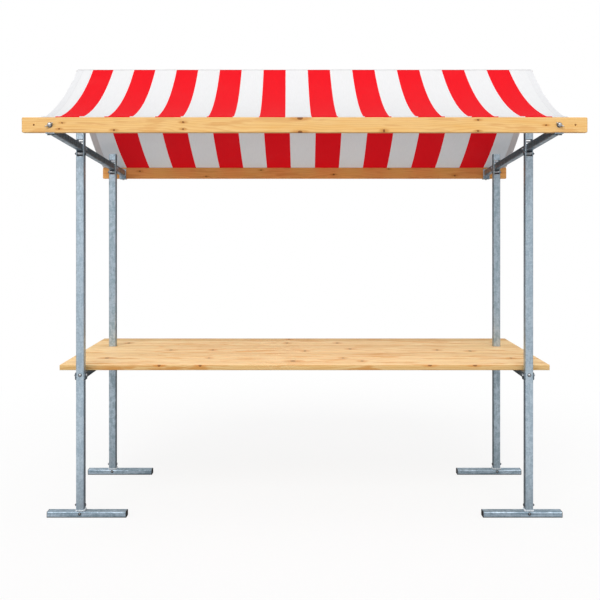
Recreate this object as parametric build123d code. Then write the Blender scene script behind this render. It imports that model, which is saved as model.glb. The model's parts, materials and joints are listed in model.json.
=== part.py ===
"""Market stall: a galvanised steel frame with timber roof beams, a timber table and a two-panel canopy.

Frame: millimetres, +Z up, +X to the right of a person who faces the serving side, +Y away from them.
Inside this file places along Y are measured back from the front posts' centre line and heights from
the floor. Every piece is moved to the middle of the whole stall when it is written.
"""
import os
from math import cos, radians, tan

from build123d import *

# ---------------------------------------------------------------- driving dimensions
post_spacing = 2250.0  # between the centres of the left and right posts
bay_depth = 736.0  # between the centres of the front and rear posts

post_side = 40.0
post_wall = 2.5
post_corner = 4.0
rear_head_above_bar = 57.0  # rear post top above the top of the roof bar
front_head_above_beam = 56.0  # front post top above the top of the front beam

foot_width = 50.0
foot_height = 30.0
foot_wall = 2.5
foot_corner = 6.0
foot_inner_reach = 232.0  # from the post's centre towards the middle of the stall
front_foot_outer_reach = 165.0
rear_foot_outer_reach = 142.0
spigot_wall = 2.5
spigot_height = 110.0
post_lift = 8.0  # welded seat between the foot and the post
foot_bolt_height = 58.0
cap_flange = 3.0
cap_plug = 18.0

roof_fall = 4.06  # degrees, down towards the rear
bar_top_at_front = 1870.6  # top of the roof bar at the front posts' centre line
bar_width = 30.0
bar_height = 35.0
bar_wall = 2.5
bar_corner = 4.0
front_overhang = 508.0  # front posts' centre line to the back of the front beam
rear_overhang = 281.0  # rear posts' centre line to the front of the rear beam
front_shelf_above_bar = 4.43  # front beam's underside above the bar's underside at its end
rear_shelf_below_bar = 17.33  # rear beam's underside below the bar's underside at its end
end_plate_thickness = 5.0
end_plate_width = 40.0
shelf_thickness = 4.0

beam_overhang = 125.0  # each end past the posts' centre lines
beam_thickness = 28.0
beam_height = 68.0
beam_edge = 4.0
beam_end_corner = 6.0  # corners of the ends, seen from the front
hook_hole_radius = 4.0
hook_hole_inset = 54.0  # from a beam's end

window_above_bar = 24.0  # top of the head's window above the bar
window_below_bar = 26.0
window_gap = 0.5  # each side of the bar
keeper_above_bar = 12.0  # keeper pin above the top of the bar
stop_bolt_gap = 31.0  # stop bolt behind the rear face of each post

table_top = 751.0
table_thickness = 27.0
table_overhang = 125.0  # each end past the posts' centre lines
table_front = 60.0  # front edge behind the front posts' centre line
table_rear_overhang = 324.0  # rear edge behind the rear posts' centre line
table_edge = 3.0
board_gap = 1.0  # between the two table boards
notch_gap = 2.0  # around each rear post

carrier_height = 28.0
carrier_lug_height = 37.0  # the cheeks are deeper where they straddle a post
carrier_lug_reach = 12.0  # past the post
carrier_plate = 4.5
carrier_gap = 0.5  # between a carrier's cheek and the post
carrier_web = 4.0
carrier_corner = 9.0
carrier_lug_corner = 12.0
carrier_rear_inset = 20.0  # rear end in front of the table's rear edge
carrier_bolt_drop = 16.0  # below the carrier's top
carrier_bolt_back = 7.0  # behind the front posts' centre line
lock_screw_drop = 11.0  # below the carrier's top

ridge_back = 234.0  # ridge behind the front posts' centre line
ridge_top = 2282.0
ridge_overhang = 65.0  # each end past the posts' centre lines
strut_side = 30.0
strut_wall = 2.5
strut_bolt_margin = 16.0  # between an end of the tab and the nearest bolt
strut_bolt_pitch = 32.0
strut_bend_above_post = 10.0
shoe_thickness = 5.0
shoe_width = 60.0
shoe_cheek = 46.0
ridge_bolt_rise = 27.5  # above the ridge board's underside

cloth_thickness = 3.0
front_cloth_ridge_overhang = 74.0  # each side edge past the posts' centre lines
front_cloth_beam_overhang = 35.0
rear_cloth_ridge_overhang = 90.0
rear_cloth_beam_overhang = 122.0
front_sag = 46.0
rear_sag = 50.0
cloth_setback = 2.0  # hem behind the outer edge of a beam

bolt_radius = 4.0
bolt_head_radius = 7.0
bolt_head_height = 5.5
nut_height = 6.5
thread_beyond_nut = 3.0
hole_gap = 0.2
spacer_radius = 12.0
seat_gap = 0.05
slide_gap = 0.25
lock_head_radius = 9.0
lock_head_height = 4.0
lock_shank = 12.0
shelf_screw_radius = 3.0
shelf_screw_head_radius = 5.5
shelf_screw_head_height = 4.0
shelf_screw_grip = 22.0
cross_bolt_head_radius = 7.0
cross_bolt_head_height = 3.0
cross_bolt_radius = 3.0
cross_bolt_height = 20.0
wing_hub_radius = 8.0
wing_hub_height = 10.0
wing_span = 40.0
wing_thickness = 3.0
wing_proud = 17.0
wing_root = 3.0
wing_tilt = 27.0
wing_corner = 4.0

# ---------------------------------------------------------------- sizes that follow from them
post_x = post_spacing / 2
inner_side = post_side - 2 * post_wall
spigot_side = inner_side - 2 * slide_gap
post_foot = foot_height + post_lift
hole_radius = bolt_radius + hole_gap

front_beam_back = -front_overhang
front_beam_front = front_beam_back - beam_thickness
rear_beam_front = bay_depth + rear_overhang
rear_beam_back = rear_beam_front + beam_thickness
bar_front = front_beam_back + end_plate_thickness
bar_rear = rear_beam_front - end_plate_thickness
bar_depth = bar_height / cos(radians(roof_fall))

beam_length = post_spacing + 2 * beam_overhang
hook_hole_spacing = beam_length - 2 * hook_hole_inset
ridge_length = post_spacing + 2 * ridge_overhang

table_length = post_spacing + 2 * table_overhang
table_rear = bay_depth + table_rear_overhang
table_under = table_top - table_thickness
carrier_rear = table_rear - carrier_rear_inset
carrier_half = post_side / 2 + carrier_gap
carrier_outer = carrier_half + carrier_plate

ridge_under = ridge_top - beam_height

front_edge = front_beam_front - wing_proud
rear_edge = max(rear_beam_back + wing_proud, table_rear)
middle_y = (front_edge + rear_edge) / 2

sides = {"left": -1, "right": 1}
rows = {"front": 0.0, "rear": bay_depth}
foot_outer_reach = {"front": front_foot_outer_reach, "rear": rear_foot_outer_reach}


def bar_top(y):
    """Height of the roof bar's top face at a place along Y."""
    return bar_top_at_front - y * tan(radians(roof_fall))


def bar_middle(y):
    """Height of the roof bar's centre line at a place along Y."""
    return bar_top(y) - bar_depth / 2


def bar_under(y):
    """Height of the roof bar's underside at a place along Y."""
    return bar_top(y) - bar_depth


def keeper_height(y):
    """Height of the pin above the bar in a post's head."""
    return bar_top(y) + keeper_above_bar


def spacer_height(y):
    """Height of the bolt whose sleeve carries the bar in a post's head."""
    return bar_under(y) - (spacer_radius + seat_gap) / cos(radians(roof_fall))


front_beam_bottom = bar_under(front_beam_back) + front_shelf_above_bar
rear_beam_bottom = bar_under(rear_beam_front) - rear_shelf_below_bar
front_beam_top = front_beam_bottom + beam_height
rear_beam_top = rear_beam_bottom + beam_height
front_post_top = front_beam_top + front_head_above_beam


def box(x0, x1, y0, y1, z0, z1):
    """Box between two corners."""
    return Pos(x0, y0, z0) * Box(x1 - x0, y1 - y0, z1 - z0, align=(Align.MIN, Align.MIN, Align.MIN))


def rod_x(x0, x1, y, z, radius):
    """Round rod along X."""
    rod = Cylinder(radius, x1 - x0, align=(Align.CENTER, Align.CENTER, Align.MIN))
    return Pos(x0, y, z) * Rot(0, 90, 0) * rod


def rod_y(y0, y1, x, z, radius):
    """Round rod along Y."""
    rod = Cylinder(radius, y1 - y0, align=(Align.CENTER, Align.CENTER, Align.MIN))
    return Pos(x, y0, z) * Rot(-90, 0, 0) * rod


def rod_z(z0, z1, x, y, radius):
    """Round rod along Z."""
    rod = Cylinder(radius, z1 - z0, align=(Align.CENTER, Align.CENTER, Align.MIN))
    return Pos(x, y, z0) * rod


def tube_section(width, depth, wall, corner):
    """Ring-shaped section of a rectangular tube."""
    outer = RectangleRounded(width, depth, corner)
    inner_corner = max(corner - wall, wall / 4)
    return outer - RectangleRounded(width - 2 * wall, depth - 2 * wall, inner_corner)


def along_x(section, x, y, z, length):
    """Section whose width lies along Y and height along Z, extruded along X."""
    return Plane(origin=(x, y, z), x_dir=(0, 1, 0), z_dir=(1, 0, 0)) * extrude(section, length)


def hexagon_x(x, length, y, z, radius):
    """Hexagonal prism along X, as long as a bolt head or a nut."""
    prism = extrude(RegularPolygon(radius, 6), length)
    return Pos(x, y, z) * Rot(0, 90, 0) * prism


def through_bolt(x_middle, half_grip, y, z):
    """Hexagon bolt along X through a joint half_grip thick each side, with its nut outwards."""
    tip = half_grip + nut_height + thread_beyond_nut
    bolt = rod_x(-half_grip, tip, 0, 0, bolt_radius)
    bolt += hexagon_x(-half_grip - bolt_head_height, bolt_head_height, 0, 0, bolt_head_radius)
    bolt += hexagon_x(half_grip, nut_height, 0, 0, bolt_head_radius)
    outward = 0 if x_middle >= 0 else 180
    return Pos(x_middle, y, z) * Rot(0, 0, outward) * bolt


def one_solid(shape):
    """The single solid of a shape that is in one piece."""
    solids = shape.solids()
    assert len(solids) == 1, f"expected one solid, got {len(solids)}"
    return solids[0]


def save(name, *shapes):
    """Write one node: its solids, moved to the middle of the stall."""
    solids = []
    for shape in shapes:
        solids.append(one_solid(Pos(0, -middle_y, 0) * shape))
    node = solids[0] if len(solids) == 1 else Compound(children=solids)
    export_step(node, f"parts/{name}.step")


# ---------------------------------------------------------------- posts and feet
def post(x, y, head_top):
    """Upright tube with a window through its head, front to back, for the roof bar."""
    tube = Pos(x, y, post_foot) * extrude(
        tube_section(post_side, post_side, post_wall, post_corner), head_top - post_foot)
    half = bar_width / 2 + window_gap
    tube -= box(x - half, x + half, y - post_side, y + post_side,
                bar_under(y) - window_below_bar, bar_top(y) + window_above_bar)
    far = post_side
    tube -= rod_x(x - far, x + far, y, keeper_height(y), bolt_radius + seat_gap)
    for height in (foot_bolt_height, spacer_height(y)):
        tube -= rod_x(x - far, x + far, y, height, hole_radius)
    carrier_y = y + (carrier_bolt_back if y == 0 else 0)
    tube -= rod_x(x - far, x + far, carrier_y, table_under - carrier_bolt_drop, hole_radius)
    return tube


def front_post(x):
    """Front post, which reaches up around the ridge strut, with a hole for the locking screw."""
    tube = post(x, 0, front_post_top)
    for height in strut_bolt_heights():
        tube -= rod_x(x - post_side, x + post_side, 0, height, hole_radius)
    tube -= rod_y(-post_side, 0, x, table_under - lock_screw_drop, hole_radius)
    return tube


def foot(x, y, side, outer_reach):
    """Foot tube with its end caps left out, the welded seat and the spigot for the post."""
    inner = x - side * foot_inner_reach
    outer = x + side * outer_reach
    low = min(inner, outer) + cap_flange
    length = abs(outer - inner) - 2 * cap_flange
    section = tube_section(foot_width, foot_height, foot_wall, foot_corner)
    tube = along_x(section, low, y, foot_height / 2, length)
    seat = box(x - post_side / 2, x + post_side / 2, y - post_side / 2, y + post_side / 2,
               foot_height, post_foot)
    spigot = Pos(x, y, foot_height) * extrude(
        tube_section(spigot_side, spigot_side, spigot_wall, post_corner - post_wall + slide_gap),
        post_lift + spigot_height)
    body = tube + seat + spigot
    body -= rod_x(x - post_side, x + post_side, y, foot_bolt_height, hole_radius)
    body -= rod_y(y - foot_width, y + foot_width, x, cross_bolt_height, cross_bolt_radius + hole_gap)
    return body


def foot_caps(x, y, side, outer_reach):
    """Plastic plugs in both ends of a foot tube."""
    caps = []
    plug_width = foot_width - 2 * foot_wall - 2 * slide_gap
    plug_height = foot_height - 2 * foot_wall - 2 * slide_gap
    plug_corner = foot_corner - foot_wall - slide_gap
    for reach, outward in ((-foot_inner_reach, -side), (outer_reach, side)):
        end = x + side * reach
        flange = along_x(RectangleRounded(foot_width, foot_height, foot_corner),
                         end, y, foot_height / 2, -outward * cap_flange)
        plug = along_x(RectangleRounded(plug_width, plug_height, plug_corner),
                       end, y, foot_height / 2, -outward * (cap_flange + cap_plug))
        caps.append(flange + plug)
    return caps


def cross_bolt(x, y):
    """Round-headed bolt that ties the spigot's weld block through the foot tube along Y."""
    front = y - foot_width / 2
    shank = rod_y(front, front + foot_width, x, cross_bolt_height, cross_bolt_radius)
    head = rod_y(front - cross_bolt_head_height, front, x, cross_bolt_height, cross_bolt_head_radius)
    nut = rod_y(front + foot_width, front + foot_width + cross_bolt_head_height, x,
                cross_bolt_height, cross_bolt_head_radius)
    return shank + head + nut


# ---------------------------------------------------------------- roof bars
def roof_bar(x):
    """Sloping tube with a welded end plate and shelf for each roof beam."""
    margin = bar_height
    length = (bar_rear - bar_front + 2 * margin) / cos(radians(roof_fall))
    section = tube_section(bar_width, bar_height, bar_wall, bar_corner)
    tube = Rot(90, 0, 0) * extrude(section, length / 2, both=True)
    middle = (bar_front + bar_rear) / 2
    tube = Pos(x, middle, bar_middle(middle)) * Rot(-roof_fall, 0, 0) * tube
    tube &= box(x - bar_width, x + bar_width, bar_front, bar_rear, 0, ridge_top)
    bar = tube + end_plate(x, front_beam_back, 1, front_beam_bottom, bar_front)
    bar += end_plate(x, rear_beam_front, -1, rear_beam_bottom, bar_rear)
    for y in rows.values():
        stop_y = y + post_side / 2 + stop_bolt_gap
        bar -= rod_x(x - bar_width, x + bar_width, stop_y, bar_middle(stop_y), hole_radius)
    return bar


def end_plate(x, beam_face, inward, beam_bottom, bar_end):
    """Upright plate against a beam's face and the shelf under the beam, as one welded angle."""
    half = end_plate_width / 2
    low = min(beam_bottom, bar_under(bar_end)) - shelf_thickness
    high = beam_bottom + beam_height - 2 * beam_edge
    y0, y1 = sorted((beam_face, beam_face + inward * end_plate_thickness))
    plate = box(x - half, x + half, y0, y1, low, high)
    shelf_y0, shelf_y1 = sorted((beam_face, beam_face - inward * beam_thickness))
    shelf = box(x - half, x + half, shelf_y0, shelf_y1, beam_bottom - shelf_thickness, beam_bottom)
    angle = plate + shelf
    angle -= rod_y(y0 - 1, y1 + 1, x, beam_bottom + beam_height / 2, bolt_radius)
    angle -= rod_z(beam_bottom - 2 * shelf_thickness, beam_bottom + 1, x,
                   beam_face - inward * beam_thickness / 2, shelf_screw_radius + hole_gap)
    return angle


def stop_bolts(x):
    """Bolts through the bar behind each post, which keep it from sliding forwards."""
    bolts = []
    for y in rows.values():
        stop_y = y + post_side / 2 + stop_bolt_gap
        bolts.append(through_bolt(x, bar_width / 2, stop_y, bar_middle(stop_y)))
    return bolts


def keeper_pin(x, y):
    """Plain pin pressed through a post's head above the roof bar."""
    return rod_x(x - post_side / 2, x + post_side / 2, y, keeper_height(y), bolt_radius)


def spacer(x, y):
    """Sleeve on the head bolt, which the roof bar rests on."""
    half = inner_side / 2 - slide_gap
    height = spacer_height(y)
    return rod_x(x - half, x + half, y, height, spacer_radius) - rod_x(
        x - half, x + half, y, height, hole_radius)


# ---------------------------------------------------------------- beams and their fixings
def beam(front, bottom):
    """Planed roof beam with its bolt, shelf-screw and hook holes."""
    half = beam_length / 2
    plank = box(-half, half, front, front + beam_thickness, bottom, bottom + beam_height)
    plank = fillet(plank.edges().filter_by(Axis.Y), beam_end_corner)
    plank = fillet(plank.edges().filter_by(Axis.X), beam_edge)
    middle = bottom + beam_height / 2
    for side in sides.values():
        plank -= rod_y(front - 1, front + beam_thickness + 1, side * post_x, middle, hole_radius)
        plank -= rod_y(front - 1, front + beam_thickness + 1, side * hook_hole_spacing / 2, middle,
                       hook_hole_radius)
        plank -= rod_z(bottom - 1, bottom + shelf_screw_grip - shelf_thickness, side * post_x,
                       front + beam_thickness / 2, shelf_screw_radius + hole_gap)
    return plank


def wing_screw(x, face, outward, bottom):
    """Wing screw whose hub stands on a beam's outer face and whose thread ends in the end plate."""
    height = bottom + beam_height / 2
    tip = face - outward * (beam_thickness + end_plate_thickness)
    y0, y1 = sorted((face, tip))
    shank = rod_y(y0, y1, x, height, bolt_radius - hole_gap / 2)
    y0, y1 = sorted((face, face + outward * wing_hub_height))
    hub = rod_y(y0, y1, x, height, wing_hub_radius)
    y0, y1 = sorted((face + outward * wing_root, face + outward * wing_proud))
    wings = Box(wing_span, y1 - y0, wing_thickness)
    wings = fillet(wings.edges().filter_by(Axis.Z), wing_corner)
    tilt = wing_tilt if x < 0 else -wing_tilt
    wings = Pos(x, (y0 + y1) / 2, height) * Rot(0, -tilt, 0) * wings
    return shank + hub + wings


def shelf_screw(x, y, bottom):
    """Screw up through an end plate's shelf into a beam."""
    under = bottom - shelf_thickness
    shank = rod_z(under, under + shelf_screw_grip - 1, x, y, shelf_screw_radius)
    head = rod_z(under - shelf_screw_head_height, under, x, y, shelf_screw_head_radius)
    return shank + head


# ---------------------------------------------------------------- table
def post_notches():
    """Room around the two rear posts in the table."""
    half = post_side / 2 + notch_gap
    cuts = []
    for side in sides.values():
        x = side * post_x
        cuts.append(box(x - half, x + half, bay_depth - half, bay_depth + half,
                        table_under - 1, table_top + 1))
    return cuts


def table_board(y0, y1):
    """One board of the table top, notched around the rear posts."""
    half = table_length / 2
    board = box(-half, half, y0, y1, table_under, table_top)
    board = fillet(board.edges().filter_by(Axis.Z), table_edge)
    outer = [face for face in (y0, y1) if face in (table_front, table_rear)]
    for y in outer:
        edges = board.edges().filter_by(Axis.X).filter_by_position(Axis.Y, y - 0.1, y + 0.1)
        board = fillet(edges, table_edge)
    for cut in post_notches():
        board -= cut
    return board


def carrier_lug(x0, x1, near, far):
    """Deeper stretch of a carrier's cheek beside a post, with rounded lower corners."""
    low = table_under - carrier_lug_height
    lug = box(x0, x1, near, far, low, table_under)
    ends = lug.edges().filter_by(Axis.X).filter_by_position(Axis.Z, low - 1, low + 1)
    return fillet(ends, min(carrier_lug_corner, carrier_lug_height / 3))


def table_carrier(x):
    """Inverted channel along Y that straddles both posts of one side and carries the boards."""
    low = table_under - carrier_height
    front = -post_side / 2
    cheeks = []
    for side in sides.values():
        x0, x1 = sorted((x + side * carrier_half, x + side * carrier_outer))
        cheek = box(x0, x1, front, carrier_rear, low, table_under)
        ends = cheek.edges().filter_by(Axis.X).filter_by_position(Axis.Z, low - 1, low + 1)
        cheek = fillet(ends.sort_by(Axis.Y)[-1:], min(carrier_corner, carrier_height / 3))
        for y in rows.values():
            near = max(front, y - post_side / 2 - carrier_lug_reach)
            far = y + post_side / 2 + carrier_lug_reach
            cheek += carrier_lug(x0, x1, near, far)
        cheeks.append(cheek)
    carrier = cheeks[0] + cheeks[1]
    clear = post_side / 2 + 2 * notch_gap
    web_rear = carrier_rear - carrier_corner
    for y0, y1 in ((clear, bay_depth - clear), (bay_depth + clear, web_rear)):
        carrier += box(x - carrier_outer, x + carrier_outer, y0, y1,
                       table_under - carrier_web, table_under)
    bolt_z = table_under - carrier_bolt_drop
    for y in (carrier_bolt_back, bay_depth):
        carrier -= rod_x(x - post_side, x + post_side, y, bolt_z, hole_radius)
    return carrier


def carrier_bolts(x):
    """Bolts through a carrier's cheeks and each post."""
    bolt_z = table_under - carrier_bolt_drop
    return [through_bolt(x, carrier_outer, y, bolt_z) for y in (carrier_bolt_back, bay_depth)]


def lock_screw(x):
    """Domed screw in the front face of a front post, level with the carrier."""
    face = -post_side / 2
    height = table_under - lock_screw_drop
    dome_radius = (lock_head_radius ** 2 + lock_head_height ** 2) / (2 * lock_head_height)
    ball = Pos(x, face - lock_head_height + dome_radius, height) * Sphere(dome_radius)
    head = ball & rod_y(face - 2 * lock_head_height, face, x, height, 2 * lock_head_radius)
    return head + rod_y(face, face + lock_shank, x, height, bolt_radius)


# ---------------------------------------------------------------- ridge
def strut_bolt_heights():
    """Heights of the two bolts that hold a ridge strut in the top of a front post."""
    high = front_post_top - strut_bolt_margin
    return (high - strut_bolt_pitch, high)


def ridge_strut(x):
    """Bent tube from inside the front post's top up to a shoe that holds the ridge board."""
    tab_low = strut_bolt_heights()[0] - strut_bolt_margin
    tab_high = front_post_top + strut_bend_above_post
    shoe_under = ridge_under - shoe_thickness
    section = tube_section(strut_side, strut_side, strut_wall, bar_corner)
    rise = shoe_under - tab_high
    lean = Line((x, 0, tab_high), (x, ridge_back, shoe_under))
    tab = Pos(x, 0, tab_low) * extrude(section, rise)
    arm_plane = Plane(origin=(x, 0, tab_high), x_dir=(1, 0, 0), z_dir=lean % 0.5)
    arm = arm_plane * Pos(0, 0, -2 * strut_side) * extrude(section, lean.length + 4 * strut_side)
    miter_normal = ((lean % 0.5) + Vector(0, 0, 1)).normalized()
    miter = Plane(origin=(x, 0, tab_high), z_dir=miter_normal)
    tab = split(tab, bisect_by=miter, keep=Keep.BOTTOM)
    arm = split(arm, bisect_by=miter, keep=Keep.TOP)
    arm &= box(x - strut_side, x + strut_side, -bay_depth, bay_depth, 0, shoe_under)
    half = shoe_width / 2
    inner = beam_thickness / 2 + hole_gap
    outer = inner + shoe_thickness
    shoe = box(x - half, x + half, ridge_back - outer, ridge_back + outer,
               shoe_under, ridge_under + shoe_cheek)
    shoe -= box(x - half, x + half, ridge_back - inner, ridge_back + inner,
                ridge_under, ridge_top)
    strut = tab + arm + shoe
    for height in strut_bolt_heights():
        strut -= rod_x(x - post_side, x + post_side, 0, height, hole_radius)
    strut -= rod_y(ridge_back - post_side, ridge_back + post_side, x, ridge_bolt_height(), hole_radius)
    return strut


def ridge_bolt_height():
    """Height of the bolt through a shoe and the ridge board."""
    return ridge_under + ridge_bolt_rise


def ridge_bolt(x):
    """Bolt along Y through a shoe and the ridge board."""
    half = beam_thickness / 2 + hole_gap + shoe_thickness
    height = ridge_bolt_height()
    bolt = through_bolt(0, half, 0, 0)
    return Pos(x, ridge_back, height) * Rot(0, 0, 90) * bolt


def ridge_board():
    """Board on edge under the canopy's ridge."""
    half = ridge_length / 2
    front = ridge_back - beam_thickness / 2
    board = box(-half, half, front, front + beam_thickness, ridge_under, ridge_top)
    board = fillet(board.edges().filter_by(Axis.X), beam_edge)
    for side in sides.values():
        board -= rod_y(front - 1, front + beam_thickness + 1, side * post_x, ridge_bolt_height(),
                       hole_radius)
    return board


# ---------------------------------------------------------------- canopy
def canopy(beam_near, beam_far, beam_top, sag, ridge_overhang_each, beam_overhang_each):
    """Thin sagging sheet from the ridge board's top over one beam.

    beam_near is the beam's face towards the ridge and beam_far is where the hem lies on its top.
    The two overhangs are how far its side edges pass the posts' centre lines.
    """
    ridge_width = post_spacing + 2 * ridge_overhang_each
    beam_width = post_spacing + 2 * beam_overhang_each
    toward = 1 if beam_near > ridge_back else -1
    ridge_corner = ridge_back + toward * beam_thickness / 2
    start = Vector(0, ridge_corner, ridge_top)
    end = Vector(0, beam_near, beam_top)
    middle = (start + end) / 2 - Vector(0, 0, sag)
    edges = []
    lift = Vector(0, 0, cloth_thickness)
    for offset in (Vector(0, 0, 0), lift):
        edges.append(Line(Vector(0, ridge_back, ridge_top) + offset, start + offset))
        edges.append(ThreePointArc(start + offset, middle + offset, end + offset))
        edges.append(Line(end + offset, Vector(0, beam_far, beam_top) + offset))
    edges.append(Line(Vector(0, ridge_back, ridge_top), Vector(0, ridge_back, ridge_top) + lift))
    edges.append(Line(Vector(0, beam_far, beam_top), Vector(0, beam_far, beam_top) + lift))
    profile = make_face(edges)
    widest = max(ridge_width, beam_width)
    sheet = extrude(profile, widest / 2, dir=(1, 0, 0), both=True)
    outline = Polygon((-ridge_width / 2, ridge_back), (ridge_width / 2, ridge_back),
                      (beam_width / 2, beam_far), (-beam_width / 2, beam_far), align=None)
    return sheet & extrude(outline, ridge_top + 2 * cloth_thickness, dir=(0, 0, 1))


# ---------------------------------------------------------------- the whole stall
def build():
    """Write every node of the stall."""
    os.makedirs("parts", exist_ok=True)

    for side_name, side in sides.items():
        x = side * post_x
        save(f"front_{side_name}_post", front_post(x))
        save(f"rear_{side_name}_post", post(x, bay_depth, bar_top(bay_depth) + rear_head_above_bar))
        save(f"{side_name}_roof_bar", roof_bar(x))
        save(f"{side_name}_table_carrier", table_carrier(x))
        save(f"{side_name}_ridge_strut", ridge_strut(x))
        save(f"{side_name}_stop_bolts", *stop_bolts(x))
        save(f"{side_name}_carrier_bolts", *carrier_bolts(x))
        for row_name, y in rows.items():
            outer_reach = foot_outer_reach[row_name]
            save(f"{row_name}_{side_name}_foot", foot(x, y, side, outer_reach))
            save(f"{row_name}_{side_name}_foot_caps", *foot_caps(x, y, side, outer_reach))
            save(f"{row_name}_{side_name}_head_bolt",
                 through_bolt(x, post_side / 2, y, spacer_height(y)))

    corners = [(side * post_x, y) for side in sides.values() for y in rows.values()]
    save("head_spacers", *[spacer(x, y) for x, y in corners])
    save("keeper_pins", *[keeper_pin(x, y) for x, y in corners])
    save("foot_bolts", *[through_bolt(x, post_side / 2, y, foot_bolt_height) for x, y in corners])
    save("foot_cross_bolts", *[cross_bolt(x, y) for x, y in corners])
    save("lock_screws", *[lock_screw(side * post_x) for side in sides.values()])
    save("strut_bolts", *[through_bolt(side * post_x, post_side / 2, 0, height)
                          for side in sides.values() for height in strut_bolt_heights()])
    save("ridge_bolts", *[ridge_bolt(side * post_x) for side in sides.values()])

    save("front_beam", beam(front_beam_front, front_beam_bottom))
    save("rear_beam", beam(rear_beam_front, rear_beam_bottom))
    save("ridge_board", ridge_board())
    for name, face, outward, bottom in (("front", front_beam_front, -1, front_beam_bottom),
                                        ("rear", rear_beam_back, 1, rear_beam_bottom)):
        middle = face - outward * beam_thickness / 2
        save(f"{name}_wing_screws", *[wing_screw(side * post_x, face, outward, bottom)
                                      for side in sides.values()])
        save(f"{name}_shelf_screws", *[shelf_screw(side * post_x, middle, bottom)
                                       for side in sides.values()])

    save("front_table_board", table_board(table_front, bay_depth - board_gap / 2))
    save("rear_table_board", table_board(bay_depth + board_gap / 2, table_rear))
    save("front_canopy", canopy(front_beam_back, front_beam_front + cloth_setback, front_beam_top,
                                front_sag, front_cloth_ridge_overhang, front_cloth_beam_overhang))
    save("rear_canopy", canopy(rear_beam_front, rear_beam_back - cloth_setback, rear_beam_top,
                               rear_sag, rear_cloth_ridge_overhang, rear_cloth_beam_overhang))


build()
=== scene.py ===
"""Looks of a market stall: galvanised frame, pine beams and table, striped two-panel canopy.

Lengths are metres, +Z is up, -Y faces the customer and +X is to the right of someone who faces the
serving side.
"""
from __future__ import annotations

import json
import logging
import math
from dataclasses import dataclass, field, replace
from enum import StrEnum
from typing import Iterable, Sequence

import bmesh
import bpy
from bmesh.types import BMFace, BMVert, BMesh
from bpy.types import Material, Mesh, Node, NodeSocket, NodeTree, Object, Scene, World
from mathutils import Matrix, Vector, noise

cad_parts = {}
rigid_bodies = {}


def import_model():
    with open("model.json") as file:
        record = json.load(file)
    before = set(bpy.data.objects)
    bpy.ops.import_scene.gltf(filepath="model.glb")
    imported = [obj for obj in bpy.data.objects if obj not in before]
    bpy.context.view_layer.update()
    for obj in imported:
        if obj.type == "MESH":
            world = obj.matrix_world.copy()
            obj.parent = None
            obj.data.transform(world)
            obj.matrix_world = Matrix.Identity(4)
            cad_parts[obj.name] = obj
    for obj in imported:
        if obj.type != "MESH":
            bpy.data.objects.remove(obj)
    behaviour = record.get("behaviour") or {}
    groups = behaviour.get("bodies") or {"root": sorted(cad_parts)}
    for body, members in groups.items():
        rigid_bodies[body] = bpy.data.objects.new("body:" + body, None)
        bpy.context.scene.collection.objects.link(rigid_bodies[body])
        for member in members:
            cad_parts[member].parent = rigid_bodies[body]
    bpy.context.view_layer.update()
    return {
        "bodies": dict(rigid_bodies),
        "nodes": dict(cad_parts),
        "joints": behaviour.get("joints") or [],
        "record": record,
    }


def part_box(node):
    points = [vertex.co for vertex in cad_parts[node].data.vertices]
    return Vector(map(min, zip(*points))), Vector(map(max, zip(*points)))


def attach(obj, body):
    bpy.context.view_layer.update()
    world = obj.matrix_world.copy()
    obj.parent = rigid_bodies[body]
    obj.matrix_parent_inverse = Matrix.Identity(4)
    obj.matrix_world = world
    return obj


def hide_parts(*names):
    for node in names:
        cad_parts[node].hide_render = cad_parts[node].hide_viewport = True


log = logging.getLogger("market_stall")

MM = 0.001
SAME = 1e-6
BODY = "root"
SHADER, GEOMETRY = "ShaderNodeTree", "GeometryNodeTree"
WHITE = (1.0, 1.0, 1.0)
Pair = tuple[float, float]
Colour = Triple = tuple[float, float, float]


class Slot(StrEnum):
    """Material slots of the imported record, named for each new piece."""

    STEEL = "galvanised_steel"
    ZINC = "zinc_fasteners"
    PINE = "pine"
    CLOTH = "striped_tarpaulin"


class Row(StrEnum):
    """The two rows of posts, and the beam, board and canopy panel that belong to each."""

    FRONT = "front"
    REAR = "rear"

    @property
    def outward(self) -> float:
        """Sign along Y of the row's outer side."""
        return -1.0 if self is Row.FRONT else 1.0


class Side(StrEnum):
    """The two sides of the stall."""

    LEFT = "left"
    RIGHT = "right"

    @property
    def sign(self) -> float:
        """Sign of the side's places along X."""
        return -1.0 if self is Side.LEFT else 1.0


CORNERS = [f"{row}_{side}" for row in Row for side in Side]

# ------------------------ boxes of CAD pieces
@dataclass(frozen=True)
class Box:
    """Lowest and highest corner of a piece."""

    low: Vector
    high: Vector

    @property
    def centre(self) -> Vector:
        """Middle of the box."""
        return (self.low + self.high) / 2

    @property
    def size(self) -> Vector:
        """Side lengths of the box."""
        return self.high - self.low

    def face(self, axis: int, way: float) -> float:
        """Place of the lower or upper face along an axis, by the sign of the way."""
        return (self.high if way > 0 else self.low)[axis]


def node_box(name: str) -> Box:
    """Box of one CAD node."""
    return Box(*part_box(name))


def solid_boxes(frame: dict, name: str) -> list[Box]:
    """Boxes of the separate solids of one CAD node.

    Args:
        name: The node's name.

    Returns:
        One box for each solid, sorted by its lowest corner.
    """
    welded = bmesh.new()
    welded.from_mesh(frame["nodes"][name].data)
    bmesh.ops.remove_doubles(welded, verts=welded.verts, dist=SAME)
    boxes = []
    waiting = set(welded.verts)
    while waiting:
        stack, island = [waiting.pop()], []
        while stack:
            vert = stack.pop()
            island.append(vert.co.copy())
            joined = {edge.other_vert(vert) for edge in vert.link_edges} & waiting
            waiting -= joined
            stack.extend(joined)
        boxes.append(Box(*(Vector(pick(co[i] for co in island) for i in range(3)) for pick in (min, max))))
    welded.free()
    return sorted(boxes, key=lambda box: tuple(round(value, 5) for value in box.low))


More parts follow.
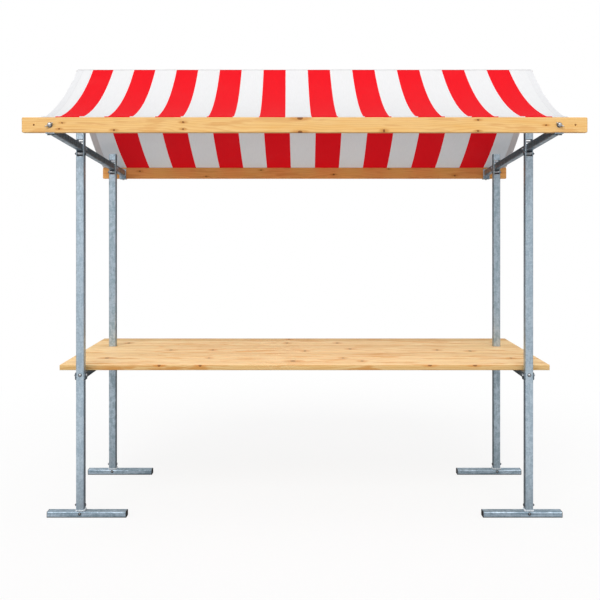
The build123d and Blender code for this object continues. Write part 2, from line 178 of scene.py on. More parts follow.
# ------------------------ node tree wiring
class Term:
    """Output of a node, with which sums can be written."""

    def __init__(self, w: Wiring, socket: NodeSocket) -> None:
        """Keep the socket and the wiring of its tree."""
        self.w, self.socket = w, socket

    def __add__(self, other: object) -> Term:
        """Sum."""
        return self.w.math("ADD", self, other)

    def __sub__(self, other: object) -> Term:
        """Difference."""
        return self.w.math("SUBTRACT", self, other)

    def __rsub__(self, other: object) -> Term:
        """Difference from a number."""
        return self.w.math("SUBTRACT", other, self)

    def __mul__(self, other: object) -> Term:
        """Product."""
        return self.w.math("MULTIPLY", self, other)

    def __truediv__(self, other: object) -> Term:
        """Quotient."""
        return self.w.math("DIVIDE", self, other)

    def __rtruediv__(self, other: object) -> Term:
        """Quotient of a number."""
        return self.w.math("DIVIDE", other, self)

    def clamped(self) -> Term:
        """The same result, kept from 0 to 1 by its own node."""
        self.socket.node.use_clamp = True
        return self

    def remap(self, old: Pair, new: Pair = (0.0, 1.0), smooth: bool = False) -> Term:
        """Number moved from one range to another, kept inside the new one.

        Args:
            old: Two ends of its own range.
            new: Two ends of the new range.
            smooth: Whether the ends are eased.

        Returns:
            The moved number.
        """
        return self.w.out("ShaderNodeMapRange", dict(enumerate((self, *old, *new))), clamp=True,
                          interpolation_type="SMOOTHSTEP" if smooth else "LINEAR")


class Wiring:
    """Adds nodes to one tree and joins them."""

    def __init__(self, tree: NodeTree, effects: Effects | None = None) -> None:
        """Keep the tree that the nodes go into, and the shared groups that it may place."""
        self.tree, self.effects = tree, effects

    def feed(self, node: Node, inputs: dict) -> None:
        """Join or set a node's inputs.

        Args:
            node: The node.
            inputs: Terms, lists of terms or plain values, by the input's name or number.
        """
        for key, value in inputs.items():
            socket = node.inputs[key]
            if isinstance(value, (Term, list)):
                for term in value if isinstance(value, list) else [value]:
                    self.tree.links.new(term.socket, socket)
                continue
            if socket.type == "RGBA":
                value = (*value, 1.0)
            socket.default_value = value

    def node(self, kind: str, inputs: dict | None = None, **settings: object) -> Node:
        """Add one node.

        Args:
            kind: The node's type name.
            inputs: What its inputs are fed with, by name or number.
            **settings: Properties to set on it.

        Returns:
            The new node.
        """
        node = self.tree.nodes.new(kind)
        for key, value in settings.items():
            setattr(node, key, value)
        self.feed(node, inputs or {})
        return node

    def out(self, kind: str, inputs: dict | None = None, output: int | str = 0, **settings: object) -> Term:
        """One output of a new node, by name or number."""
        return Term(self, self.node(kind, inputs, **settings).outputs[output])

    def math(self, operation: str, *values: object) -> Term:
        """Math node on terms or numbers."""
        return self.out("ShaderNodeMath", dict(enumerate(values)), operation=operation)

    def vector(self, operation: str, *values: object) -> Term:
        """Vector Math node on terms or vectors. LENGTH and DOT_PRODUCT give a number."""
        output = "Value" if operation in ("LENGTH", "DOT_PRODUCT") else "Vector"
        return self.out("ShaderNodeVectorMath", dict(enumerate(values)), output, operation=operation)

    def scaled(self, vector: object, scale: object) -> Term:
        """Vector or colour times a number."""
        return self.out("ShaderNodeVectorMath", {0: vector, "Scale": scale}, operation="SCALE")

    def split(self, vector: object) -> list[Term]:
        """X, Y and Z of a vector."""
        return [Term(self, socket) for socket in self.node("ShaderNodeSeparateXYZ", {0: vector}).outputs]

    def join(self, x: object, y: object, z: object) -> Term:
        """Vector made of three numbers."""
        return self.out("ShaderNodeCombineXYZ", {0: x, 1: y, 2: z})

    def noise(self, vector: object, scale: object, detail: float, roughness: float) -> Term:
        """Noise from 0 to 1."""
        return self.out("ShaderNodeTexNoise", {"Vector": vector, "Scale": scale, "Detail": detail,
                                               "Roughness": roughness}, "Fac")

    def blend(self, factor: object, a: object, b: object, mode: str = "MIX") -> Term:
        """Mix of two colours."""
        return self.out("ShaderNodeMix", {0: factor, 6: a, 7: b}, 2, data_type="RGBA", blend_type=mode)

    def mix(self, factor: object, a: object, b: object) -> Term:
        """Mix of two numbers."""
        return self.out("ShaderNodeMix", {0: factor, 2: a, 3: b}, data_type="FLOAT")

    def bump(self, height: object, strength: float, distance: float) -> Term:
        """Normal bent by a height."""
        return self.out("ShaderNodeBump", {"Strength": strength, "Distance": distance, "Height": height})

    def effect(self, name: str, **values: object) -> dict[str, Term]:
        """Place a shared shader group.

        Args:
            name: The group's name.
            **values: Terms or plain values by the input's name, in lower case with underscores.

        Returns:
            Its outputs by name.
        """
        node = self.node("ShaderNodeGroup", titled(values), node_tree=self.effects.tree(name))
        return {socket.name: Term(self, socket) for socket in node.outputs}

    def leave(self, **outputs: object) -> NodeTree:
        """Feed a group's outputs by name, and hand back its tree."""
        self.node("NodeGroupOutput", outputs)
        return self.tree


def titled(values: dict[str, object]) -> dict[str, object]:
    """The same values by socket name: some_size becomes Some Size."""
    return {key.replace("_", " ").title(): value for key, value in values.items()}


def cleared(owner: Material | World) -> NodeTree:
    """Emptied node tree of a material or world.

    Args:
        owner: What the tree belongs to.

    Returns:
        The tree, without nodes.
    """
    owner.use_nodes = True
    owner.node_tree.nodes.clear()
    return owner.node_tree


def new_group(kind: str, name: str, inputs: str, outputs: str) -> list:
    """Make an empty node group with named sockets.

    Args:
        kind: Type name of the tree.
        name: The group's name.
        inputs: Input names with commas between, each with its type after a colon if it isn't a number.
        outputs: Output names, given in the same way.

    Returns:
        The group's wiring, and a term for each input.
    """
    tree = bpy.data.node_groups.new(name, kind)
    for in_out, sockets in (("INPUT", inputs), ("OUTPUT", outputs)):
        for words in sockets.split(", "):
            socket, _, socket_type = words.partition(":")
            tree.interface.new_socket(socket, in_out=in_out,
                                      socket_type=f"NodeSocket{socket_type or 'Float'}")
    w = Wiring(tree)
    given = w.node("NodeGroupInput").outputs
    return [w, *(Term(w, socket) for socket in given if socket.name)]


# ------------------------ shared shader groups
class Effects:
    """Shader node groups that several finishes share, each built once."""

    def __init__(self) -> None:
        """Start with no group built."""
        self._built: dict[str, NodeTree] = {}

    def tree(self, name: str) -> NodeTree:
        """Group that the method of this name makes, built on its first use."""
        if name not in self._built:
            self._built[name] = getattr(self, name)()
        return self._built[name]

    def spangle(self) -> NodeTree:
        """Zinc crystals, cloudy patches and drawn streaks of hot-dip galvanising.

        Returns:
            The group.
        """
        w, place, crystal_size, patch_size, streak_shape, streak_share = new_group(
            SHADER, "spangle",
            "Coordinates:Vector, Crystal Size, Patch Size, Streak Shape:Vector, Streak Share",
            "Tone, Relief")
        cells = w.out("ShaderNodeTexVoronoi", {"Vector": place, "Scale": 1.0 / crystal_size}, "Color",
                      voronoi_dimensions="3D", feature="F1")
        crystal = w.split(cells)[0]
        patch_scale = 1.0 / patch_size
        patches = w.noise(place, patch_scale, 3.0, 0.55)
        streaks = w.noise(w.vector("MULTIPLY", place, streak_shape), patch_scale * 3.0, 2.0, 0.6)
        tone = crystal * 0.43 + patches.remap((0.3, 0.7), smooth=True) * 0.57
        return w.leave(Tone=w.mix(streak_share, tone, streaks.remap((0.3, 0.7))),
                       Relief=crystal + patches * 0.8)

    def edge_wear(self) -> NodeTree:
        """Mask of outer edges, broken up by noise, and a whole one of the edges that look down.

        Returns:
            The group.
        """
        w, place, radius, breakup = new_group(
            SHADER, "edge_wear", "Coordinates:Vector, Radius, Breakup", "Mask, Under")
        rounded = w.out("ShaderNodeBevel", {"Radius": radius}, "Normal", samples=4)
        flat = w.out("ShaderNodeNewGeometry", output="Normal")
        edge = w.vector("DOT_PRODUCT", rounded, flat).remap((0.995, 0.90))
        broken = w.noise(place, 1.0 / breakup, 3.0, 0.6).remap((0.35, 0.6))
        return w.leave(Mask=edge * broken, Under=edge * w.split(rounded)[2].remap((-0.05, -0.35)))

    def dust(self) -> NodeTree:
        """Thin soil that gathers low down and in soft patches.

        Returns:
            The group.
        """
        w, place, patch_size, splash_height = new_group(
            SHADER, "dust", "Coordinates:Vector, Patch Size, Splash Height", "Mask")
        low = (1.0 - w.split(place)[2] / splash_height).clamped()
        soft = w.noise(place, 1.0 / patch_size, 4.0, 0.6).remap((0.45, 0.75), smooth=True)
        mask = (low * 0.55 + soft * 0.45).clamped()
        return w.leave(Mask=(mask * (soft + 0.35)).clamped())

    def growth_rings(self) -> NodeTree:
        """Rings round a pith that runs along X, with fine fibres, as sawn pine shows them.

        Returns:
            The group.
        """
        w, place, pith, spacing, bend = new_group(
            SHADER, "growth_rings", "Coordinates:Vector, Pith:Vector, Ring Spacing, Bend",
            "Ring, Fibre, Cloud")
        _, y, z = w.split(place)
        slow = w.vector("ADD", w.vector("MULTIPLY", place, (1.1, 5.0, 5.0)), w.scaled(pith, 40.0))
        wander = (w.noise(slow, 1.0, 3.0, 0.5) - 0.5) * 0.10
        offset = w.vector("MULTIPLY", pith, (0.0, 1.0, 1.0))
        radius = w.vector("LENGTH", w.vector("SUBTRACT", w.join(0.0, y + bend, z), offset))
        share = w.math("FRACT", (radius + wander) / spacing)
        ring = w.math("POWER", share, 3.0) * share.remap((0.93, 1.0), (1.0, 0.0), smooth=True)
        fibre, cloud = (w.noise(w.vector("MULTIPLY", place, stretch), 1.0, 3.0, 0.6)
                        for stretch in ((6.0, 420.0, 420.0), (4.0, 34.0, 34.0)))
        return w.leave(Ring=ring, Fibre=fibre, Cloud=cloud)

    def knot(self) -> NodeTree:
        """One knot added to the running masks: its core, the halo round it and how it bends the grain.

        Returns:
            The group.
        """
        w, place, centre, half_length, half_width, core, halo, bend = new_group(
            SHADER, "knot", "Place:Vector, Centre:Vector, Half Length, Half Width, Core, Halo, Bend",
            "Core, Halo, Bend")
        along, across, deep = w.split(w.vector("SUBTRACT", place, centre))
        along, across, deep = along / half_length, across / half_width, deep / half_width
        reach = w.vector("LENGTH", w.join(along, across, deep))
        streak = w.vector("LENGTH", w.join(along * 0.4, across, deep))
        swell = w.math("EXPONENT", reach * reach * -0.16)
        return w.leave(Core=w.math("MAXIMUM", core, reach.remap((1.05, 0.8), smooth=True)),
                       Halo=w.math("MAXIMUM", halo, streak.remap((2.0, 0.8), smooth=True)),
                       Bend=bend + w.math("TANH", across) * swell * 0.006)

    def weave(self) -> NodeTree:
        """Plain weave of crossing threads, read from a flat map in metres.

        Returns:
            The group.
        """
        w, flat, thread = new_group(SHADER, "weave", "Flat:Vector, Thread", "Height, Slub")
        turn = math.pi / thread
        warp, weft = (w.math("SINE", way * turn) for way in w.split(flat)[:2])
        slub = w.noise(w.vector("MULTIPLY", flat, (1.0, 0.06, 1.0)), 260.0, 3.0, 0.6)
        return w.leave(Height=w.math("ABSOLUTE", warp * weft), Slub=slub)


# ------------------------ finishes
@dataclass(frozen=True)
class Finish:
    """A named procedural finish. Each kind says what its shader is fed with."""

    name: str

    def material(self, effects: Effects) -> Material:
        """Material of this finish.

        Args:
            effects: The shared shader groups.

        Returns:
            The new material.
        """
        material = bpy.data.materials.new(self.name)
        w = Wiring(cleared(material), effects)
        fed = self.dress(w, w.out("ShaderNodeTexCoord", output="Object"))
        shader = w.out("ShaderNodeBsdfPrincipled", fed)
        w.node("ShaderNodeOutputMaterial", {"Surface": self.surface(w, shader, fed["Base Color"])})
        return material

    def dress(self, w: Wiring, place: Term) -> dict[str, object]:
        """What the shader's inputs are fed with.

        Args:
            w: Wiring of the material.
            place: The piece's own coordinates.

        Returns:
            Terms or plain values by the input's name.
        """
        raise NotImplementedError

    def surface(self, w: Wiring, shader: Term, colour: Term) -> Term:
        """The finished surface, which is the shader unless a finish adds another one."""
        return shader

    def dirt(self, w: Wiring, place: Term, patch: float, splash: float) -> Term:
        """Mask of thin soil, from the size of its patches and the height that it splashes to."""
        return w.effect("dust", coordinates=place, patch_size=patch, splash_height=splash)["Mask"]

    def wear(self, w: Wiring, place: Term, radius: float, breakup: float, output: str = "Mask") -> Term:
        """Mask of worn edges, from their radius and the size of the gaps in it."""
        return w.effect("edge_wear", coordinates=place, radius=radius, breakup=breakup)[output]


@dataclass(frozen=True)
class Galvanised(Finish):
    """Hot-dip galvanised steel: blue-grey, cloudy and slightly streaked."""

    light: Colour = (0.55, 0.66, 0.75)
    dark: Colour = (0.37, 0.47, 0.55)
    soil: Colour = (0.22, 0.23, 0.24)
    # Colour of the painted contact shadow along the ground line
    grime: Colour = (0.07, 0.075, 0.08)
    bare: Colour = (0.72, 0.78, 0.83)
    roughness: Pair = (0.32, 0.46)
    streak_shape: Triple = (1.0, 1.0, 0.16)
    streak_share: float = 0.35
    ground_line: float = -10 * MM
    # Gain of the painted light below the table, and the heights over which it fades out
    low_gain: float = 1.0
    sheltered: Pair = (0.62, 0.76)

    def dress(self, w: Wiring, place: Term) -> dict[str, object]:
        """Spangle, soil and worn edges, with painted light below the table and painted shade along the ground
        line.

        Args:
            w: Wiring of the material.
            place: The piece's own coordinates.

        Returns:
            What feeds the shader, by the input's name.
        """
        zinc = w.effect("spangle", coordinates=place, crystal_size=7 * MM, patch_size=26 * MM,
                        streak_shape=self.streak_shape, streak_share=self.streak_share)
        soil = self.dirt(w, place, 70 * MM, 0.35)
        tone = zinc["Tone"].remap((0.30, 0.72))
        colour = w.blend(tone, self.dark, self.light)
        colour = w.blend(soil * 0.15, colour, self.soil)
        colour = w.blend(self.wear(w, place, 1.2 * MM, 18 * MM) * 0.55, colour, self.bare)
        height = w.split(place)[2]
        # Painted light: the colour is lifted below the table's height, where the table shades the posts
        colour = w.scaled(colour, height.remap(self.sheltered, (self.low_gain, 1.0), smooth=True))
        # Painted shade: a dark band just above the ground line stands in for the contact shadow
        grime = height.remap((self.ground_line, self.ground_line + 5 * MM), (0.75, 0.0))
        return {"Base Color": w.blend(grime, colour, self.grime), "Metallic": 0.88,
                "Roughness": w.mix(tone, *self.roughness[::-1]) + soil * 0.12,
                "Normal": w.bump(zinc["Relief"], 0.25, 0.12 * MM)}


@dataclass(frozen=True)
class ZincPlate(Finish):
    """Zinc plate of bolts, nuts and screws."""

    light: Colour = (0.66, 0.67, 0.68)
    dark: Colour = (0.22, 0.23, 0.25)
    soil: Colour = (0.05, 0.05, 0.05)

    def dress(self, w: Wiring, place: Term) -> dict[str, object]:
        """Fine tumbling marks, soil in patches and bright edges.

        Args:
            w: Wiring of the material.
            place: The piece's own coordinates.

        Returns:
            What feeds the shader, by the input's name.
        """
        marks = w.noise(place, 900.0, 3.0, 0.6)
        colour = w.blend(marks.remap((0.3, 0.7)), self.dark, self.light)
        colour = w.blend(self.dirt(w, place, 9 * MM, 0.12) * 0.4, colour, self.soil)
        colour = w.blend(self.wear(w, place, 0.5 * MM, 5 * MM) * 0.7, colour, self.light)
        return {"Base Color": colour, "Metallic": 0.75, "Roughness": marks * 0.2 + 0.22,
                "Normal": w.bump(marks, 0.15, 0.05 * MM)}


@dataclass(frozen=True)
class WeldMetal(Finish):
    """Galvanised weld bead, duller and coarser than the tube, with a pale colour that paints its highlight.
    """

    # Pale tones: a painted highlight on the bead, which is real geometry
    light: Colour = (0.86, 0.90, 0.93)
    dark: Colour = (0.48, 0.53, 0.57)

    def dress(self, w: Wiring, place: Term) -> dict[str, object]:
        """Spangle at the scale of the bead."""
        zinc = w.effect("spangle", coordinates=place, crystal_size=2.5 * MM, patch_size=6 * MM,
                        streak_shape=(1.0, 1.0, 1.0), streak_share=0.3)
        return {"Base Color": w.blend(zinc["Tone"], self.dark, self.light), "Metallic": 0.4,
                "Roughness": zinc["Tone"].remap((0.2, 0.8), (0.65, 0.5)),
                "Normal": w.bump(zinc["Relief"], 0.4, 0.2 * MM)}


@dataclass(frozen=True)
class MouldedPlastic(Finish):
    """Dark moulded plugs, finely textured."""

    colour: Colour = (0.035, 0.037, 0.04)
    scuffed: Colour = (0.16, 0.16, 0.165)

    def dress(self, w: Wiring, place: Term) -> dict[str, object]:
        """Moulded grain, soil and scuffed edges.

        Args:
            w: Wiring of the material.
            place: The piece's own coordinates.

        Returns:
            What feeds the shader, by the input's name.
        """
        grain = w.noise(place, 1400.0, 2.0, 0.6)
        soil, worn = self.dirt(w, place, 20 * MM, 0.08), self.wear(w, place, 0.8 * MM, 8 * MM)
        share = (soil * 0.35 + worn * 0.5).clamped()
        return {"Base Color": w.blend(share, self.colour, self.scuffed), "Specular IOR Level": 0.2,
                "Roughness": grain.remap((0.3, 0.7), (0.55, 0.7)), "Normal": w.bump(grain, 0.2, 0.05 * MM)}


@dataclass(frozen=True)
class Knot:
    """A knot: where its middle is along the grain and across it, and its half sizes in millimetres."""

    along: float
    across: float
    half_length: float = 7
    half_width: float = 5


@dataclass(frozen=True)
class Pine(Finish):
    """Planed and oiled pine with growth rings round a pith along X, and listed knots.

    The table's staves carry their own pith and tone, and knots that run up through the top.
    """

    early: Colour = (0.90, 0.53, 0.17)
    late: Colour = (0.72, 0.32, 0.07)
    pale: Colour = (0.97, 0.68, 0.31)
    heart: Colour = (0.24, 0.075, 0.012)
    halo: Colour = (0.62, 0.25, 0.045)
    end_grain: Colour = (0.62, 0.36, 0.15)
    # Colour of the painted shade on the arrises that face down
    handled: Colour = (0.30, 0.16, 0.06)
    low_tone: Colour = (0.80, 0.72, 0.60)
    high_tone: Colour = (1.08, 1.10, 1.13)
    ring_spacing: float = 8 * MM
    ring_share: float = 0.55
    figure_share: float = 0.55
    pith: Triple = (0.0, 0.0, 0.0)
    knots: tuple[Knot, ...] = ()
    knot_top: float = 0.0
    staves: bool = False

    def dress(self, w: Wiring, place: Term) -> dict[str, object]:
        """Rings, fibres, clouds and knots, darker on the end grain, with painted shade on the lower arrises.

        Args:
            w: Wiring of the material.
            place: The piece's own coordinates.

        Returns:
            What feeds the shader, by the input's name.
        """
        pith: object = self.pith
        if self.staves:
            pith = w.out("ShaderNodeAttribute", output="Vector", attribute_name="pith")
        core, halo, bend = self._knots(w, place)
        wood = w.effect("growth_rings", coordinates=place, pith=pith, ring_spacing=self.ring_spacing,
                        bend=bend)
        ring, fibre, cloud = wood["Ring"], wood["Fibre"], wood["Cloud"]
        colour = w.blend(cloud.remap((0.3, 0.7)), self.early, self.pale)
        figure = cloud.remap((0.53, 0.64), smooth=True)
        for share in (ring * self.ring_share, fibre.remap((0.3, 0.7)) * 0.18, figure * self.figure_share):
            colour = w.blend(share, colour, self.late)
        if self.staves:
            tone = w.out("ShaderNodeAttribute", output="Fac", attribute_name="tone")
            colour = w.blend(1.0, colour, w.blend(tone, self.low_tone, self.high_tone), "MULTIPLY")
        normal = w.out("ShaderNodeNewGeometry", output="Normal")
        end = w.math("ABSOLUTE", w.split(normal)[0]).remap((0.75, 0.95))
        # Painted shade: the arrises that face down are darkened
        under = self.wear(w, place, 3 * MM, 30 * MM, "Under")
        for share, tint in ((halo * 0.70, self.halo), (core * 0.95, self.heart),
                            (end * 0.6, self.end_grain),
                            (self.dirt(w, place, 0.22, 0.2) * 0.10, self.end_grain),
                            (under * 0.6, self.handled)):
            colour = w.blend(share, colour, tint)
        return {"Base Color": colour, "Roughness": fibre.remap((0.3, 0.7), (0.42, 0.6)) + end * 0.2,
                "Specular IOR Level": 0.25, "Normal": w.bump(ring * 0.6 + fibre * 0.4, 0.25, 0.15 * MM)}

    def _knots(self, w: Wiring, place: Term) -> tuple:
        """Running masks of all knots.

        Args:
            w: Wiring of the material.
            place: Object coordinates.

        Returns:
            The knots' cores, their halos and the bend of the grain.
        """
        x, y, z = w.split(place)
        across, deep = (y, (z - self.knot_top) * 0.5) if self.staves else (z, 0.0)
        wobble = (w.noise(place, 160.0, 2.0, 0.6) - 0.5) * (6 * MM)
        marks: dict[str, object] = {"Core": 0.0, "Halo": 0.0, "Bend": 0.0}
        spot = w.join(x + wobble, across - wobble * 0.6, deep)
        for knot in self.knots:
            marks = w.effect("knot", place=spot, centre=(knot.along, knot.across, 0.0),
                             half_length=knot.half_length * MM, half_width=knot.half_width * MM, **marks)
        return marks["Core"], marks["Halo"], marks["Bend"]


@dataclass(frozen=True)
class StripedCloth(Finish):
    """Woven tarpaulin with even red stripes on white, read from a flat map in metres.

    The map's first axis starts at the first stripe's edge, and stripe_count counts from there.
    """

    stripe_pitch: float
    stripe_count: int
    hem_tint: Colour
    red: Colour = (0.92, 0.006, 0.016)
    white: Colour = (0.90, 0.905, 0.915)
    soiled: Colour = (0.62, 0.60, 0.57)
    glow_share: float = 0.16

    def dress(self, w: Wiring, place: Term) -> dict[str, object]:
        """Stripes, weave and soft soil, with painted shade on the hems, where the doubled cloth lets less
        light through.

        Args:
            w: Wiring of the material.
            place: The piece's own coordinates.

        Returns:
            What feeds the shader, by the input's name.
        """
        flat = w.out("ShaderNodeUVMap", uv_map="flat")
        weave = w.effect("weave", flat=flat, thread=0.9 * MM)
        turn = w.split(flat)[0] / self.stripe_pitch
        odd = w.math("LESS_THAN", w.math("FLOORED_MODULO", turn, 2.0), 1.0)
        inside = w.math("GREATER_THAN", turn, 0.0) * w.math("LESS_THAN", turn, float(self.stripe_count))
        slub = weave["Slub"].remap((0.3, 0.7), (0.965, 1.02))
        colour = w.scaled(w.blend(odd * inside, self.white, self.red), slub)
        colour = w.blend(self.dirt(w, place, 0.35, 0.1) * 0.02, colour, self.soiled)
        hem = w.out("ShaderNodeAttribute", output="Fac", attribute_name="hem")
        # Painted shade: the hems are darkened where the doubled cloth lets less light through
        colour = w.blend(hem, colour, w.blend(1.0, colour, self.hem_tint, "MULTIPLY"))
        return {"Base Color": colour, "Roughness": weave["Height"].remap((0.0, 1.0), (0.72, 0.6)),
                "Specular IOR Level": 0.08, "Normal": w.bump(weave["Height"], 0.2, 0.12 * MM)}

    def surface(self, w: Wiring, shader: Term, colour: Term) -> Term:
        """Cloth that lets a little light through."""
        glow = w.out("ShaderNodeBsdfTranslucent", {"Color": colour})
        return w.out("ShaderNodeMixShader", {0: self.glow_share, 1: shader, 2: glow})


@dataclass(frozen=True)
class Yarn(Finish):
    """Twisted sewing thread."""

    colour: Colour = (0.78, 0.78, 0.77)
    shade: Colour = (0.50, 0.50, 0.50)

    def dress(self, w: Wiring, place: Term) -> dict[str, object]:
        """Fine twist."""
        twist = w.noise(place, 2600.0, 2.0, 0.5)
        return {"Base Color": w.blend(twist.remap((0.35, 0.65)), self.shade, self.colour),
                "Roughness": twist.remap((0.3, 0.7), (0.6, 0.8)), "Normal": w.bump(twist, 0.3, 0.05 * MM)}


@dataclass(frozen=True)
class Webbing(Finish):
    """Flat woven tape that binds the ridge."""

    colour: Colour = (0.84, 0.845, 0.85)
    shade: Colour = (0.66, 0.665, 0.67)

    def dress(self, w: Wiring, place: Term) -> dict[str, object]:
        """Weave on the tape's own flat map."""
        weave = w.effect("weave", flat=w.out("ShaderNodeUVMap", uv_map="flat"), thread=1.6 * MM)
        return {"Base Color": w.blend(weave["Height"], self.shade, self.colour),
                "Roughness": weave["Slub"].remap((0.3, 0.7), (0.7, 0.85)),
                "Normal": w.bump(weave["Height"], 0.4, 0.2 * MM)}


# ------------------------ mesh helpers
def link(name: str, mesh: Mesh) -> Object:
    """Object of a mesh whose vertices are already in place.

    Args:
        name: The object's name.
        mesh: Its mesh.

    Returns:
        The object, in the scene.
    """
    piece = bpy.data.objects.new(name, mesh)
    bpy.context.scene.collection.objects.link(piece)
    return piece


def finish_mesh(mesh: Mesh, angle: float) -> None:
    """Shade smooth, with edges past an angle in degrees kept sharp."""
    mesh.shade_smooth()
    mesh.set_sharp_from_angle(angle=math.radians(angle))


def from_bmesh(name: str, shape: BMesh, angle: float) -> Object:
    """Object of a finished bmesh, which is freed.

    Args:
        name: Name of the object and its mesh.
        shape: The bmesh.
        angle: Sharpest edge that is shaded smooth, in degrees.

    Returns:
        The object, in the scene.
    """
    mesh = bpy.data.meshes.new(name)
    shape.to_mesh(mesh)
    shape.free()
    finish_mesh(mesh, angle)
    return link(name, mesh)


def declare(piece: Object, slot: Slot, *materials: Material, node: str = "") -> Object:
    """Give a piece its materials, attach it to the stall and hide the CAD node that it stands for.

    Args:
        piece: The piece.
        slot: Material slot of the record; not used.
        *materials: Materials that its mesh doesn't have yet.
        node: The CAD node that it stands for, if it does.

    Returns:
        The same piece, riding on the stall.
    """
    for material in materials:
        piece.data.materials.append(material)
    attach(piece, BODY)
    if node:
        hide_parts(node)
    return piece


def loft(shape: BMesh, rings: Sequence[Sequence[BMVert]], capped: bool = True) -> list[BMFace]:
    """Close a solid over rings of vertices.

    Args:
        shape: What the faces go into.
        rings: Rings with as many vertices each, or with a single one at a pole.
        capped: Whether the first and last ring are closed with a face.

    Returns:
        The new faces.
    """
    faces = [shape.faces.new(rings[0][::-1]), shape.faces.new(rings[-1])] if capped else []
    count = max(len(ring) for ring in rings)
    for below, above in zip(rings, rings[1:]):
        for i in range(count):
            j = (i + 1) % count
            corners = [below[i % len(below)], below[j % len(below)],
                       above[j % len(above)], above[i % len(above)]]
            faces.append(shape.faces.new(list(dict.fromkeys(corners))))
    return faces


def lathe(shape: BMesh, profile: Sequence[Pair], place: Matrix, segments: int) -> list[BMFace]:
    """Turn a profile round local Z into a closed solid.

    Args:
        shape: What the faces go into.
        profile: Radius and height pairs from the lower pole to the upper one, with radius 0 at both.
        place: Where the solid goes.
        segments: Corners of each ring.

    Returns:
        The new faces.
    """
    rings = []
    for radius, height in profile:
        turns = [2 * math.pi * i / segments for i in range(segments)] if radius else [0.0]
        rings.append([shape.verts.new(place @ Vector((radius * math.cos(t), radius * math.sin(t), height)))
                      for t in turns])
    return loft(shape, rings, capped=False)


def ribbon(name: str, sections: Iterable[Sequence[tuple]]) -> Object:
    """Closed strip of cloth, with its flat map in metres and its hems marked.

    Args:
        name: The piece's name.
        sections: Rows of strands, each with a point of the upper face, the point under it, their place on
            the flat cloth, and 1 in a hem or 0 elsewhere.

    Returns:
        The strip.
    """
    shape = bmesh.new()
    uv = shape.loops.layers.uv.new("flat")
    hem = shape.verts.layers.float.new("hem")
    flats: dict[BMVert, Pair] = {}
    rings = []
    for section in sections:
        upper, lower = [], []
        for above, below, flat, hemmed in section:
            for point, face in ((above, upper), (below, lower)):
                vert = shape.verts.new(point)
                flats[vert], vert[hem] = flat, hemmed
                face.append(vert)
        rings.append(upper + lower[::-1])
    loft(shape, rings, capped=False)
    last = len(rings[0]) - 1
    for ring in (rings[0], rings[-1]):
        for i in range(last // 2):
            shape.faces.new((ring[i], ring[i + 1], ring[last - i - 1], ring[last - i]))
    bmesh.ops.recalc_face_normals(shape, faces=shape.faces)
    for face in shape.faces:
        for loop in face.loops:
            loop[uv].uv = flats[loop.vert]
    return from_bmesh(name, shape, 50.0)


def evaluated_mesh(piece: Object) -> Mesh:
    """Plain mesh of a piece with its modifiers applied."""
    graph = bpy.context.evaluated_depsgraph_get()
    return bpy.data.meshes.new_from_object(piece.evaluated_get(graph))


def unit(value: float) -> float:
    """The number, kept from 0 to 1."""
    return max(0.0, min(1.0, value))


def evenly(half: float, steps: int) -> list[float]:
    """Even places from -half to half."""
    return [-half + 2 * half * k / steps for k in range(steps + 1)]


def points_mesh(name: str, places: Iterable[tuple[Vector, Vector]]) -> Mesh:
    """Mesh of lone points, each with the aim of its copy.

    Args:
        name: The mesh's name.
        places: A place and a direction for each point.

    Returns:
        The new mesh.
    """
    pairs = list(places)
    mesh = bpy.data.meshes.new(name)
    mesh.from_pydata([tuple(place) for place, _ in pairs], [], [])
    aim = mesh.attributes.new("aim", "FLOAT_VECTOR", "POINT")
    aim.data.foreach_set("vector", [value for _, direction in pairs for value in direction])
    return mesh


def paths_mesh(name: str, paths: Iterable[Sequence[Vector]], closed: bool = False) -> Mesh:
    """Mesh of edges only, one chain for each path.

    Args:
        name: The mesh's name.
        paths: Points of each path.
        closed: Whether each chain ends where it starts.

    Returns:
        The new mesh.
    """
    verts: list[tuple] = []
    edges: list[tuple[int, int]] = []
    for path in paths:
        first = len(verts)
        verts.extend(tuple(point) for point in path)
        edges.extend((i, i + 1) for i in range(first, len(verts) - 1))
        if closed:
            edges.append((len(verts) - 1, first))
    mesh = bpy.data.meshes.new(name)
    mesh.from_pydata(verts, edges, [])
    return mesh


